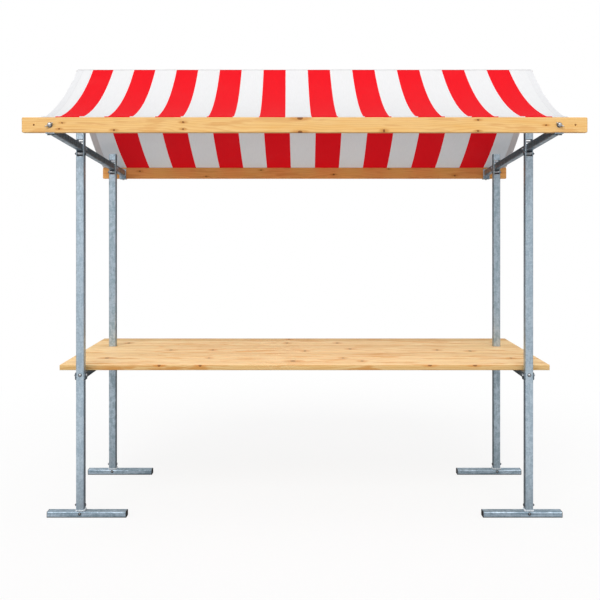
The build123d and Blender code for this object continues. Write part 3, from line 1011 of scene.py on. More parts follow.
# ------------------------ geometry node trees
class Kit:
    """Geometry node trees of what repeats: hex fasteners, weld beads, stitches and tacks."""

    def __init__(self) -> None:
        """Build every tree."""
        self.fasteners = self._fasteners()
        self.bead = self._bead()
        self.stitches = self._stitches()
        self.tacks = self._tacks()

    def run(self, name: str, seed_mesh: Mesh, tree: NodeTree, material: Material, slot: Slot,
            angle: float = 35.0, node: str = "", **values: object) -> Object:
        """Run a tree on a mesh and keep the result as a plain piece.

        Args:
            name: The piece's name.
            seed_mesh: Points or paths that the tree works on.
            tree: The tree.
            material: What its faces get.
            slot: Material slot of the record.
            angle: Sharpest edge that is shaded smooth, in degrees.
            node: The CAD node that it stands for, if it does.
            **values: Values of the tree's inputs, by name with underscores.

        Returns:
            The finished piece, riding on the stall.
        """
        piece = link(name, seed_mesh)
        modifier = piece.modifiers.new("kit", "NODES")
        modifier.node_group = tree
        given = {"Material": material, **titled(values)}
        for item in tree.interface.items_tree:
            if item.in_out == "INPUT" and item.name in given:
                modifier[item.identifier] = given[item.name]
        mesh = evaluated_mesh(piece)
        piece.modifiers.clear()
        piece.data = mesh
        mesh.name = name
        bpy.data.meshes.remove(seed_mesh)
        if "aim" in mesh.attributes:
            mesh.attributes.remove(mesh.attributes["aim"])
        finish_mesh(mesh, angle)
        return declare(piece, slot, node=node)

    def _close(self, w: Wiring, geometry: Term, material: Term) -> NodeTree:
        """End a tree in Realize Instances and Set Material."""
        real = w.out("GeometryNodeRealizeInstances", {"Geometry": geometry})
        return w.leave(Geometry=w.out("GeometryNodeSetMaterial", {"Geometry": real, "Material": material}))

    def _move(self, w: Wiring, geometry: Term, height: Term) -> Term:
        """Move geometry along its local Z."""
        return w.out("GeometryNodeTransform", {"Geometry": geometry, "Translation": w.join(0.0, 0.0, height)})

    def _disc(self, w: Wiring, sides: int, radius: Term, depth: Term) -> Term:
        """Upright prism or cylinder round the origin."""
        return w.out("GeometryNodeMeshCylinder", {"Vertices": sides, "Radius": radius, "Depth": depth},
                     "Mesh", fill_type="NGON")

    def _ball(self, w: Wiring, segments: int, rings: int) -> Term:
        """Ball of radius 1, to be scaled."""
        return w.out("GeometryNodeMeshUVSphere", {"Segments": segments, "Rings": rings, "Radius": 1.0},
                     "Mesh")

    def _hexagon(self, w: Wiring, radius: Term, depth: Term) -> Term:
        """Hexagon whose far face is turned to a cone, as on a bolt head or a nut.

        Args:
            w: Wiring of the tree.
            radius: Its corner radius.
            depth: Its height.

        Returns:
            The hexagon, from the origin up.
        """
        prism = self._move(w, self._disc(w, 6, radius, depth), depth * 0.5)
        top = radius * 0.82
        cone = w.out("GeometryNodeMeshCone", {"Vertices": 48, "Radius Top": top, "Depth": depth * 1.1,
                                              "Radius Bottom": top + depth * 1.9}, "Mesh", fill_type="NGON")
        return w.out("GeometryNodeMeshBoolean", {"Mesh 2": [prism, self._move(w, cone, depth * -0.1)]},
                     "Mesh", operation="INTERSECT", solver="EXACT")

    def _fasteners(self) -> NodeTree:
        """Hexagon bolts on points. Each lies along the point's aim, with its nut at the far end.

        Returns:
            The tree.
        """
        (w, points, grip, shank, hexagon, head, nut, washer_radius, washer, thread, pitch, with_nut, seed,
         material) = new_group(
            GEOMETRY, "hex fasteners",
            "Geometry:Geometry, Half Grip, Shank Radius, Hex Radius, Head Height, Nut Height, Washer Radius, "
            "Washer Thickness, Thread Length, Thread Pitch, With Nut:Bool, Seed:Int, Material:Material",
            "Geometry:Geometry")
        ring = self._disc(w, 32, washer_radius, washer)
        ring_place, face = grip + washer * 0.5, grip + washer
        start = grip + nut
        line = w.out("GeometryNodeCurvePrimitiveLine", {"Start": w.join(0.0, 0.0, start - pitch),
                                                        "End": w.join(0.0, 0.0, start + thread)})
        odd = w.math("MODULO", w.out("GeometryNodeInputIndex"), 2.0)
        ridges = self._rod(w, line, pitch * 0.5, 1.0 - odd * 0.14, 20, shank)
        far_nut = self._move(w, self._hexagon(w, hexagon, nut - washer), face)
        far_end = w.out("GeometryNodeJoinGeometry", {0: [far_nut, self._move(w, ring, ring_place), ridges]})
        chosen = w.out("GeometryNodeSwitch", {"Switch": with_nut, "True": far_end}, input_type="GEOMETRY")
        turned = w.out("GeometryNodeTransform", {"Geometry": self._hexagon(w, hexagon, head - washer),
                                                 "Rotation": (math.pi, 0.0, 0.0)})
        bolt = w.out("GeometryNodeJoinGeometry", {0: [
            self._disc(w, 20, shank * 0.97, grip * 2.0), self._move(w, turned, face * -1.0),
            self._move(w, ring, ring_place * -1.0), chosen]})
        return self._close(w, self._on_points(w, points, seed, bolt, math.pi / 3), material)

    def _rod(self, w: Wiring, path: Term, step: Term, share: Term, sides: int, radius: Term) -> Term:
        """Closed rod along a path.

        Args:
            w: Wiring of the tree.
            path: The path.
            step: Length between its rings.
            share: Each ring's share of the radius.
            sides: Corners of each ring.
            radius: The rod's radius.

        Returns:
            The rod.
        """
        steps = w.out("GeometryNodeResampleCurve", {"Curve": path, "Length": step}, mode="LENGTH")
        sized = w.out("GeometryNodeSetCurveRadius", {"Curve": steps, "Radius": share})
        circle = w.out("GeometryNodeCurvePrimitiveCircle", {"Resolution": sides, "Radius": radius},
                       mode="RADIUS")
        sweep = w.node("GeometryNodeCurveToMesh",
                       {"Curve": sized, "Profile Curve": circle, "Fill Caps": True})
        if "Scale" in sweep.inputs:
            w.feed(sweep, {"Scale": w.out("GeometryNodeInputRadius")})
        return Term(w, sweep.outputs[0])

    def _random(self, w: Wiring, low: float, high: float, seed: Term) -> Term:
        """Random number for each point, between two numbers.

        Args:
            w: Wiring of the tree.
            low: Smallest number.
            high: Largest number.
            seed: Seed of the numbers.

        Returns:
            The number.
        """
        wanted = {"Min": low, "Max": high, "Seed": seed}
        node = w.node("FunctionNodeRandomValue", data_type="FLOAT")
        w.feed(node, {i: wanted[socket.name] for i, socket in enumerate(node.inputs)
                      if socket.enabled and socket.name in wanted})
        return Term(w, next(socket for socket in node.outputs if socket.enabled))

    def _on_points(self, w: Wiring, points: Term, seed: Term, part: Term, most_spin: float) -> Term:
        """Copies of a part on points, aimed along each point's aim and spun a little about it.

        Args:
            w: Wiring of the tree.
            points: The points.
            seed: Seed of the spins.
            part: The part, along Z.
            most_spin: The largest spin, in radians.

        Returns:
            The copies.
        """
        aim = w.out("GeometryNodeInputNamedAttribute", {"Name": "aim"}, "Attribute", data_type="FLOAT_VECTOR")
        turn = w.out("FunctionNodeAlignRotationToVector", {"Vector": aim}, axis="Z")
        spin = w.out("FunctionNodeAxisAngleToRotation", {"Axis": (0.0, 0.0, 1.0),
                                                         "Angle": self._random(w, 0.0, most_spin, seed)})
        both = w.out("FunctionNodeRotateRotation", {"Rotation": turn, "Rotate By": spin},
                     rotation_space="LOCAL")
        lone = w.out("GeometryNodeMeshToPoints", {"Mesh": points})
        return w.out("GeometryNodeInstanceOnPoints", {"Points": lone, "Instance": part, "Rotation": both})

    def _bead(self) -> NodeTree:
        """Rippled weld bead along the edges of a mesh.

        Returns:
            The tree.
        """
        w, edges, radius, ripple, depth, seed, material = new_group(
            GEOMETRY, "weld bead",
            "Geometry:Geometry, Bead Radius, Ripple Length, Ripple Depth, Seed:Int, Material:Material",
            "Geometry:Geometry")
        wave = w.math("SINE", w.out("GeometryNodeInputIndex") * (math.pi / 2))
        uneven = self._random(w, 0.90, 1.10, seed)
        path = w.out("GeometryNodeMeshToCurve", {"Mesh": edges})
        bead = self._rod(w, path, ripple * 0.25, (wave * depth + 1.0) * uneven, 8, radius)
        return self._close(w, bead, material)

    def _stitches(self) -> NodeTree:
        """Row of thread stitches along the edges of a mesh.

        Returns:
            The tree.
        """
        w, edges, length, pitch, radius, material = new_group(
            GEOMETRY, "stitches",
            "Geometry:Geometry, Stitch Length, Stitch Pitch, Thread Radius, Material:Material",
            "Geometry:Geometry")
        path = w.out("GeometryNodeMeshToCurve", {"Mesh": edges})
        points = w.node("GeometryNodeCurveToPoints", {"Curve": path, "Length": pitch}, mode="LENGTH")
        places, along = (Term(w, points.outputs[name]) for name in ("Points", "Tangent"))
        turn = w.out("FunctionNodeAlignRotationToVector", {"Vector": along}, axis="Z")
        copies = w.out("GeometryNodeInstanceOnPoints", {
            "Points": places, "Instance": self._ball(w, 6, 4), "Rotation": turn,
            "Scale": w.join(radius, radius, length * 0.5)})
        return self._close(w, copies, material)

    def _tacks(self) -> NodeTree:
        """Low domed tack heads on points.

        Returns:
            The tree.
        """
        w, points, radius, height, seed, material = new_group(
            GEOMETRY, "tacks", "Geometry:Geometry, Head Radius, Head Height, Seed:Int, Material:Material",
            "Geometry:Geometry")
        head = w.out("GeometryNodeTransform", {"Geometry": self._ball(w, 16, 8),
                                               "Scale": w.join(radius, radius, height)})
        return self._close(w, self._on_points(w, points, seed, head, math.pi), material)


# ------------------------ canopy
@dataclass
class CanopyPanel:
    """One cloth panel, from the ridge board over the top of one beam.

    The cloth's edge moves from ridge_half to beam_half along the slope, and its stripes' first edge from
    ridge_first to beam_first. Pairs of ends are counted in from the ridge and from the beam's far edge.
    """

    row: Row
    sag: float
    ridge_half: float
    beam_half: float
    edge_power: float
    ridge_first: float
    beam_first: float
    stripe_pitch: float
    stripe_count: int
    drift: float
    flat_length: float
    hem_tint: Colour
    fold_seed: float
    thickness: float = 1.2 * MM
    hem_width: float = 36 * MM
    hem_fold: float = 1.0 * MM
    fold_edge: float = 0.8 * MM
    edge_round: float = 0.4 * MM
    lift: float = 0.9 * MM
    setback: float = 2 * MM
    beam_hem: float = 2.4 * MM
    fold_height: float = 2.6 * MM
    columns: int = 176
    seam_steps: int = 120
    step: float = 10 * MM
    beam_hem_start: float = 27 * MM
    beam_hem_run: float = 12 * MM
    held: Pair = (18 * MM, 32 * MM)
    fold_run: float = 15 * MM
    seam_inset: float = 5 * MM
    seam_ends: Pair = (20 * MM, 36 * MM)
    beam_seams: Pair = (6 * MM, 22 * MM)
    tack_line: float = 14 * MM
    tack_inset: float = 20 * MM
    tack_pitch: float = 147 * MM
    thread_gap: float = 0.15 * MM
    profile: list[Vector] = field(init=False)
    length: float = field(init=False)

    def __post_init__(self) -> None:
        """Work out the slope's line, in Y and Z, from the middle of the ridge to the beam's far edge."""
        ridge, beam = node_box("ridge_board"), node_box(f"{self.row}_beam")
        outward = self.row.outward
        start = Vector((ridge.face(1, outward), ridge.high.z + self.lift))
        end = Vector((beam.face(1, -outward), beam.high.z + self.lift))
        chord = end - start
        radius = (chord.length_squared / 4 + self.sag ** 2) / (2 * self.sag)
        down = Vector((-chord.y, chord.x)).normalized()
        if down.y > 0:
            down = -down
        middle = (start + end) / 2 - down * (radius - self.sag)
        along = chord.normalized()
        arc = [middle + down * (radius * math.cos(turn)) + along * (radius * math.sin(turn))
               for turn in evenly(math.asin(chord.length / 2 / radius), 400)]
        far = Vector((beam.face(1, outward) - outward * self.setback, end.y))
        self.profile = self._eased([Vector((ridge.centre.y, start.y)), *arc, far])
        self.length = sum((b - a).length for a, b in zip(self.profile, self.profile[1:]))

    def _eased(self, line: list[Vector]) -> list[Vector]:
        """The same line in even steps of a millimetre, with its corners eased over three of them.

        Args:
            line: Points of the line.

        Returns:
            The eased points.
        """
        walked = [0.0]
        for a, b in zip(line, line[1:]):
            walked.append(walked[-1] + (b - a).length)
        count = int(walked[-1] / (1 * MM))
        even: list[Vector] = []
        k = 0
        for i in range(count + 1):
            want = walked[-1] * i / count
            while walked[k + 1] < want and k < len(line) - 2:
                k += 1
            even.append(line[k].lerp(line[k + 1], (want - walked[k]) / (walked[k + 1] - walked[k])))
        spans = [min(3, i, count - i) for i in range(count + 1)]
        return [sum(even[i - span:i + span + 1], Vector((0, 0))) / (2 * span + 1)
                for i, span in enumerate(spans)]

    def half(self, distance: float) -> float:
        """Half of the cloth's width, a distance from the ridge."""
        share = distance / self.length
        return self.ridge_half + (self.beam_half - self.ridge_half) * share ** self.edge_power

    def fold(self, x: float, distance: float) -> float:
        """Height of the soft folds in the cloth, none where a board holds it.

        Args:
            x: Place along the ridge.
            distance: How far it is from the ridge, down the slope.

        Returns:
            The height.
        """
        free = math.sin(math.pi * min(1.0, distance / self.length)) ** 0.6
        long_wave = noise.noise(Vector((x * 2.3, distance * 1.1, self.fold_seed)))
        pull = noise.noise(Vector((x * 9.0, distance * 1.6, self.fold_seed + 7.0)))
        return free * self.fold_height * (long_wave + 0.28 * pull)

    def place(self, x: float, distance: float, height: float) -> Vector:
        """Point above the cloth's middle surface.

        Args:
            x: Its place along the ridge.
            distance: How far it is from the ridge, down the slope.
            height: Its height along the cloth's normal.

        Returns:
            The point.
        """
        share = unit(distance / self.length) * (len(self.profile) - 1)
        i = min(int(share), len(self.profile) - 2)
        a, b = self.profile[i:i + 2]
        along = (b - a).normalized()
        up = Vector((-along.y, along.x)) * (-1.0 if along.x < 0 else 1.0)
        y, z = a.lerp(b, share - i) + up * (self.fold(x, distance) + height)
        return Vector((x, y, z))

    def flat(self, x: float, distance: float) -> Pair:
        """Place on the flat cloth, its first axis counted from the first stripe's edge.

        Args:
            x: Place along the ridge.
            distance: How far it is from the ridge, down the slope.

        Returns:
            The place on the flat cloth, in metres.
        """
        first = self.ridge_first + (self.beam_first - self.ridge_first) * distance / self.length
        share = unit((x - first) / (self.stripe_pitch * self.stripe_count))
        return x + self.drift * math.sin(math.pi * share ** 0.7) - first, distance

    def _hem_rise(self, distance: float) -> float:
        """Height of the beam hem: none at the beam's inner edge and all of it a short run further out."""
        return self.beam_hem * unit((distance - self.length + self.beam_hem_start) / self.beam_hem_run)

    def _hem_drop(self, distance: float) -> float:
        """Depth of the side hem's fold: none where the cloth lies on a board."""
        free = min(distance - self.held[0], self.length - self.held[1] - distance)
        return self.hem_fold * unit(free / self.fold_run)

    def _columns_at(self, distance: float) -> list[Pair]:
        """X of each column of points, and its distance in from the cloth's nearer side.

        Args:
            distance: How far the row is from the ridge.

        Returns:
            A pair for each column.
        """
        half = self.half(distance)
        offsets = [0.0, 3 * MM, self.hem_width - self.fold_edge, self.hem_width + self.fold_edge]
        middle = evenly(half - offsets[-1], self.columns + 1)[1:-1]
        xs = [-half + o for o in offsets] + middle + [half - o for o in reversed(offsets)]
        return [(x, half - abs(x)) for x in xs]

    def build(self, material: Material) -> Object:
        """Closed cloth with folded side hems, and its flat map.

        Args:
            material: The cloth's finish.

        Returns:
            The panel.
        """
        sections = []
        rows = int(self.length / self.step)
        for distance in (self.length * j / rows for j in range(rows + 1)):
            section = []
            for x, inset in self._columns_at(distance):
                half = self.thickness / 2 - (self.edge_round if inset < 1 * MM else 0.0)
                hemmed = float(inset <= self.hem_width)
                section.append((self.place(x, distance, half + self._hem_rise(distance)),
                                self.place(x, distance, -half - hemmed * self._hem_drop(distance)),
                                self.flat(x, distance), hemmed))
            sections.append(section)
        panel = ribbon(f"{self.row}_cloth", sections)
        panel.visible_glossy = False
        return declare(panel, Slot.CLOTH, material, node=f"{self.row}_canopy")

    def seam_paths(self) -> list[list[Vector]]:
        """Paths of the side hems' stitches on both faces of the cloth, and of the beam hem's.

        Returns:
            Points of each path.
        """
        paths = []
        for side in Side:
            for face, clear in ((1, 0.0), (-1, self.hem_fold)):
                height = face * (self.thickness / 2 + clear + self.thread_gap)
                walk = (self.seam_ends[0] + (self.length - sum(self.seam_ends)) * k / self.seam_steps
                        for k in range(self.seam_steps + 1))
                inset = self.hem_width - self.seam_inset
                paths.append([self.place(side.sign * (self.half(distance) - inset), distance, height)
                              for distance in walk])
        for distance in (self.length - back for back in self.beam_seams):
            height = self.thickness / 2 + self._hem_rise(distance) + self.thread_gap
            paths.append([self.place(x, distance, height)
                          for x in evenly(self.half(distance) - 3 * MM, self.seam_steps)])
        return paths

    def tack_places(self) -> list[tuple[Vector, Vector]]:
        """Places and directions of the tacks through the beam hem.

        Returns:
            A pair for each tack.
        """
        distance = self.length - self.tack_line
        half = self.half(distance) - self.tack_inset
        return [(self.place(x, distance, self.thickness / 2 + self.beam_hem), Vector((0, 0, 1)))
                for x in evenly(half, round(2 * half / self.tack_pitch))]


@dataclass
class Canopy:
    """Both cloth panels, the tape over their seam, their stitches and the tacks that hold them."""

    kit: Kit
    effects: Effects
    tape_half: float = 13 * MM
    tape_thickness: float = 0.8 * MM
    tape_steps: int = 240
    tape_columns: int = 12
    tape_seam: float = 10 * MM
    yarn: Material = field(init=False)
    front: CanopyPanel = field(init=False)
    rear: CanopyPanel = field(init=False)

    def __post_init__(self) -> None:
        """The thread, and the front panel and the rear one with their own stripes."""
        self.yarn = Yarn("sewing_thread").material(self.effects)
        self.front = CanopyPanel(
            Row.FRONT, sag=46 * MM, ridge_half=1.199, beam_half=1.164, edge_power=2.2, ridge_first=-1.116,
            beam_first=-1.101, stripe_pitch=0.1155, stripe_count=19, drift=25 * MM, flat_length=0.848,
            hem_tint=(0.97, 0.97, 0.975), fold_seed=3.1)
        self.rear = CanopyPanel(
            Row.REAR, sag=50 * MM, ridge_half=1.201, beam_half=1.247, edge_power=0.36, ridge_first=-1.101,
            beam_first=-1.101, stripe_pitch=0.1472, stripe_count=15, drift=15 * MM, flat_length=0.946,
            hem_tint=(0.82, 0.76, 0.73), fold_seed=11.7)

    def build(self, zinc: Material) -> list[Object]:
        """Args:
            zinc: Finish of the tacks.

        Returns:
            Its pieces.
        """
        pieces = []
        for panel in (self.front, self.rear):
            name = f"{panel.row}_cloth"
            cloth = StripedCloth(f"{panel.row}_striped_cloth", panel.stripe_pitch, panel.stripe_count,
                                 panel.hem_tint).material(self.effects)
            sheet = panel.build(cloth)
            stitches = self._sew(f"{name}_stitches", panel.seam_paths())
            tacks = self.kit.run(f"{name}_tacks", points_mesh("tack points", panel.tack_places()),
                                 self.kit.tacks, zinc, Slot.ZINC, head_radius=4.5 * MM, head_height=1.3 * MM,
                                 seed=5)
            pieces += [sheet, stitches, tacks]
        return pieces + self._tape()

    def _sew(self, name: str, paths: list[list[Vector]]) -> Object:
        """Stitches along paths."""
        return self.kit.run(name, paths_mesh("seams", paths), self.kit.stitches, self.yarn, Slot.CLOTH,
                            stitch_length=3.4 * MM, stitch_pitch=4.6 * MM, thread_radius=0.35 * MM)

    def _on_tape(self, x: float, reach: float, height: float) -> Vector:
        """Point a height above the ridge's cloth, on the front panel or the rear one by its reach's sign."""
        panel = self.rear if reach > 0 else self.front
        return panel.place(x, abs(reach), panel.thickness / 2 + height)

    def _tape(self) -> list[Object]:
        """Woven tape sewn over the seam between the panels, and its two rows of stitches.

        Returns:
            The tape and its stitches.
        """
        half, top = self.front.ridge_half - 2 * MM, self.tape_thickness
        places = evenly(half, self.tape_steps)
        reaches = evenly(self.tape_half, self.tape_columns)
        tape = ribbon("ridge_tape", [[(self._on_tape(x, reach, top), self._on_tape(x, reach, 0.0),
                                       (x, reach), 0.0) for reach in reaches] for x in places])
        declare(tape, Slot.CLOTH, Webbing("ridge_tape").material(self.effects))
        stitches = self._sew("ridge_tape_stitches", [
            [self._on_tape(x, way * self.tape_seam, top + 0.1 * MM) for x in places] for way in (-1, 1)])
        return [tape, stitches]


# ------------------------ timber
def dress_nodes(frame: dict, names: Iterable[str], material: Material) -> None:
    """Give CAD nodes one finish.

    Args:
        names: The nodes' names.
        material: Their finish.
    """
    for name in names:
        slots = frame["nodes"][name].data.materials
        for i in range(len(slots)):
            slots[i] = material
        if not slots:
            slots.append(material)


@dataclass(frozen=True)
class Stave:
    """One strip of a glued board: its share of the board's depth, its tone, and where its pith lies."""

    share: float
    tone: float
    pith_drop: float
    pith_shift: float


@dataclass
class TableBoard:
    """One board of the table, glued from staves and notched round the rear posts."""

    row: Row
    staves: tuple[Stave, ...]
    outer_round: float = 3 * MM
    joint_share: float = 0.16
    end_share: float = 0.45
    notch_gap: float = 2 * MM
    # Tone of the board's faces along Y, a painted shade against the top
    edge_tone: float = 0.0
    pith_step: float = 3.7
    smooth_angle: float = 40.0

    def build(self, material: Material) -> Object:
        """Closed staves with eased edges, each with its own tone and pith.

        Args:
            material: The pine finish.

        Returns:
            The finished board.
        """
        box = node_box(f"{self.row}_table_board")
        shape = bmesh.new()
        weight = shape.edges.layers.float.new("bevel_weight_edge")
        tone = shape.faces.layers.float.new("tone")
        pith = shape.faces.layers.float_vector.new("pith")
        total = sum(stave.share for stave in self.staves)
        low = box.low.y
        for k, stave in enumerate(self.staves):
            high = low + box.size.y * stave.share / total
            outline = self._outline(box, low, high)
            faces = loft(shape, [[shape.verts.new((x, y, z)) for x, y in outline]
                                 for z in (box.low.z, box.high.z)])
            for face in faces:
                face.normal_update()
                # Faces along Y, the board's front and rear edges, take the lowest tone: painted shade that
                # darkens them against the top
                face[tone] = self.edge_tone if abs(face.normal.y) > 0.5 else stave.tone
                face[pith] = Vector((k * self.pith_step + len(self.staves),
                                     (low + high) / 2 + stave.pith_shift, box.low.z - stave.pith_drop))
            for edge in {edge for face in faces for edge in face.edges}:
                edge[weight] = self._ease(*(vert.co for vert in edge.verts), box.face(1, self.row.outward))
            low = high
        board = from_bmesh(f"{self.row}_table_staves", shape, self.smooth_angle)
        bevel = board.modifiers.new("eased", "BEVEL")
        bevel.limit_method = "WEIGHT"
        bevel.width = self.outer_round
        bevel.segments = 3
        board.data = evaluated_mesh(board)
        board.modifiers.clear()
        finish_mesh(board.data, self.smooth_angle)
        return declare(board, Slot.PINE, material, node=f"{self.row}_table_board")

    def _outline(self, box: Box, low: float, high: float) -> list[Pair]:
        """Corners of one stave in plan, with the notches that reach into it.

        Args:
            box: The board's box.
            low: The stave's lower side along Y.
            high: Its upper side.

        Returns:
            The corners, anticlockwise.
        """
        outward = self.row.outward
        notched = box.face(1, -outward)
        cuts = []
        if min(abs(low - notched), abs(high - notched)) < SAME:
            for side in Side:
                post = node_box(f"rear_{side}_post")
                deep = post.face(1, outward) + outward * self.notch_gap
                left, right = post.low.x - self.notch_gap, post.high.x + self.notch_gap
                cuts += [(left, notched), (left, deep), (right, deep), (right, notched)]
        near, far = (low, high) if self.row is Row.REAR else (high, low)
        corners = [(box.low.x, near), *cuts, (box.high.x, near), (box.high.x, far), (box.low.x, far)]
        return corners if self.row is Row.REAR else corners[::-1]

    def _ease(self, a: Vector, b: Vector, outer: float) -> float:
        """How much an edge is eased: fully at the board's outer side, a little at the joints.

        Args:
            a: One end of the edge.
            b: Its other end.
            outer: Place along Y of the board's outer side.

        Returns:
            The share of the full easing.
        """
        if abs(a.y - outer) < SAME and abs(b.y - outer) < SAME:
            return 1.0
        upright = abs(a.z - b.z) > SAME
        return self.end_share if abs(a.x - b.x) < SAME and not upright else self.joint_share


@dataclass
class Timber:
    """Roof beams, ridge board and table."""

    frame: dict
    effects: Effects
    pith_behind: float = 22 * MM
    pith_under: float = 14 * MM
    front_knots: tuple[Knot, ...] = (
        Knot(-1.084, 1.8925, 5, 4), Knot(-1.071, 1.919, 5, 3), Knot(-0.842, 1.887, 6, 5),
        Knot(-0.537, 1.922, 6, 4), Knot(-0.537, 1.8915, 5, 4), Knot(-0.020, 1.940, 14, 8),
        Knot(-0.020, 1.879, 11, 6), Knot(0.351, 1.884, 6, 7), Knot(0.766, 1.932, 6, 4),
        Knot(0.766, 1.883, 6, 4), Knot(1.066, 1.909, 5, 4))
    rear_knots: tuple[Knot, ...] = (
        Knot(-1.02, 1.792), Knot(-0.61, 1.760, 6, 4), Knot(-0.27, 1.799, 6, 4), Knot(0.18, 1.772),
        Knot(0.52, 1.806, 6, 3), Knot(0.93, 1.765, 6, 5), Knot(1.16, 1.798, 5, 3))
    ridge_knots: tuple[Knot, ...] = (
        Knot(-0.94, 2.262), Knot(-0.48, 2.231, 6, 4), Knot(0.07, 2.256, 7, 5), Knot(0.55, 2.226, 5, 4),
        Knot(0.99, 2.250))
    table_knots: tuple[Knot, ...] = (
        Knot(-1.058, 0.030, 14, 18), Knot(-1.055, 0.600, 9, 19), Knot(-0.760, 0.318, 11, 15),
        Knot(-0.742, -0.194, 9, 5), Knot(-0.533, -0.194, 9, 5), Knot(-0.512, 0.030, 7, 13),
        Knot(-0.521, 0.318, 8, 16), Knot(-0.097, 0.768, 8, 17), Knot(-0.106, 0.600, 9, 18),
        Knot(-0.061, -0.069, 15, 17), Knot(0.002, 0.280, 8, 16), Knot(0.195, 0.600, 9, 17),
        Knot(0.206, 0.030, 8, 14), Knot(0.260, 0.357, 10, 17), Knot(0.301, -0.069, 9, 14),
        Knot(0.639, -0.194, 12, 4), Knot(0.753, 0.318, 9, 16), Knot(0.869, -0.194, 12, 4),
        Knot(0.933, 0.280, 10, 18), Knot(1.105, 0.030, 8, 15), Knot(1.141, 0.643, 8, 16))
    front_staves: tuple[Stave, ...] = (
        Stave(110, 0.78, 0.045, 0.010), Stave(110, 0.90, 0.030, -0.030), Stave(110, 0.80, 0.070, 0.020),
        Stave(90, 0.52, 0.035, -0.010), Stave(96, 0.86, 0.055, 0.030), Stave(96, 0.82, 0.028, 0.0),
        Stave(64, 0.60, 0.060, -0.015))
    # The two middle rear staves take high tones: painted light against the canopy's shade over the rear of
    # the table; the other tones vary from stave to stave
    rear_staves: tuple[Stave, ...] = (
        Stave(35, 0.45, 0.050, 0.012), Stave(85, 0.92, 0.030, -0.020), Stave(85, 0.95, 0.065, 0.015),
        Stave(118, 0.30, 0.040, 0.005))

    def build(self) -> list[Object]:
        """Dress the beams and build the table.

        Returns:
            The table's boards.
        """
        for name, knots, pith_x in (("front_beam", self.front_knots, 1.3),
                                    ("rear_beam", self.rear_knots, 5.9),
                                    ("ridge_board", self.ridge_knots, 9.2)):
            box = node_box(name)
            finish = Pine(f"{name}_pine", knots=knots,
                          pith=(pith_x, box.high.y + self.pith_behind, box.low.z - self.pith_under))
            # The rear beam takes deeper, more orange colours: painted shade and red bounce light from under
            # the canopy
            if name == "rear_beam":
                finish = replace(finish, early=(0.86, 0.40, 0.10), late=(0.68, 0.24, 0.05),
                                 pale=(0.91, 0.47, 0.15))
            dress_nodes(self.frame, [name], finish.material(self.effects))
        top = Pine("table_pine", early=(0.93, 0.67, 0.32), late=(0.74, 0.38, 0.11), pale=(0.98, 0.80, 0.47),
                   heart=(0.26, 0.095, 0.02), figure_share=0.9, ring_share=0.7, knots=self.table_knots,
                   staves=True, knot_top=node_box("front_table_board").high.z).material(self.effects)
        return [TableBoard(row, staves).build(top)
                for row, staves in ((Row.FRONT, self.front_staves), (Row.REAR, self.rear_staves))]


# ------------------------ fixings
def millimetres(*profile: Pair) -> list[Pair]:
    """Lathe profile in metres, from one in millimetres."""
    return [(radius * MM, height * MM) for radius, height in profile]


def rod_profile(radius: float, length: float) -> list[Pair]:
    """Lathe profile of a plain rod."""
    return [(0, 0), (radius, 0), (radius, length), (0, length)]


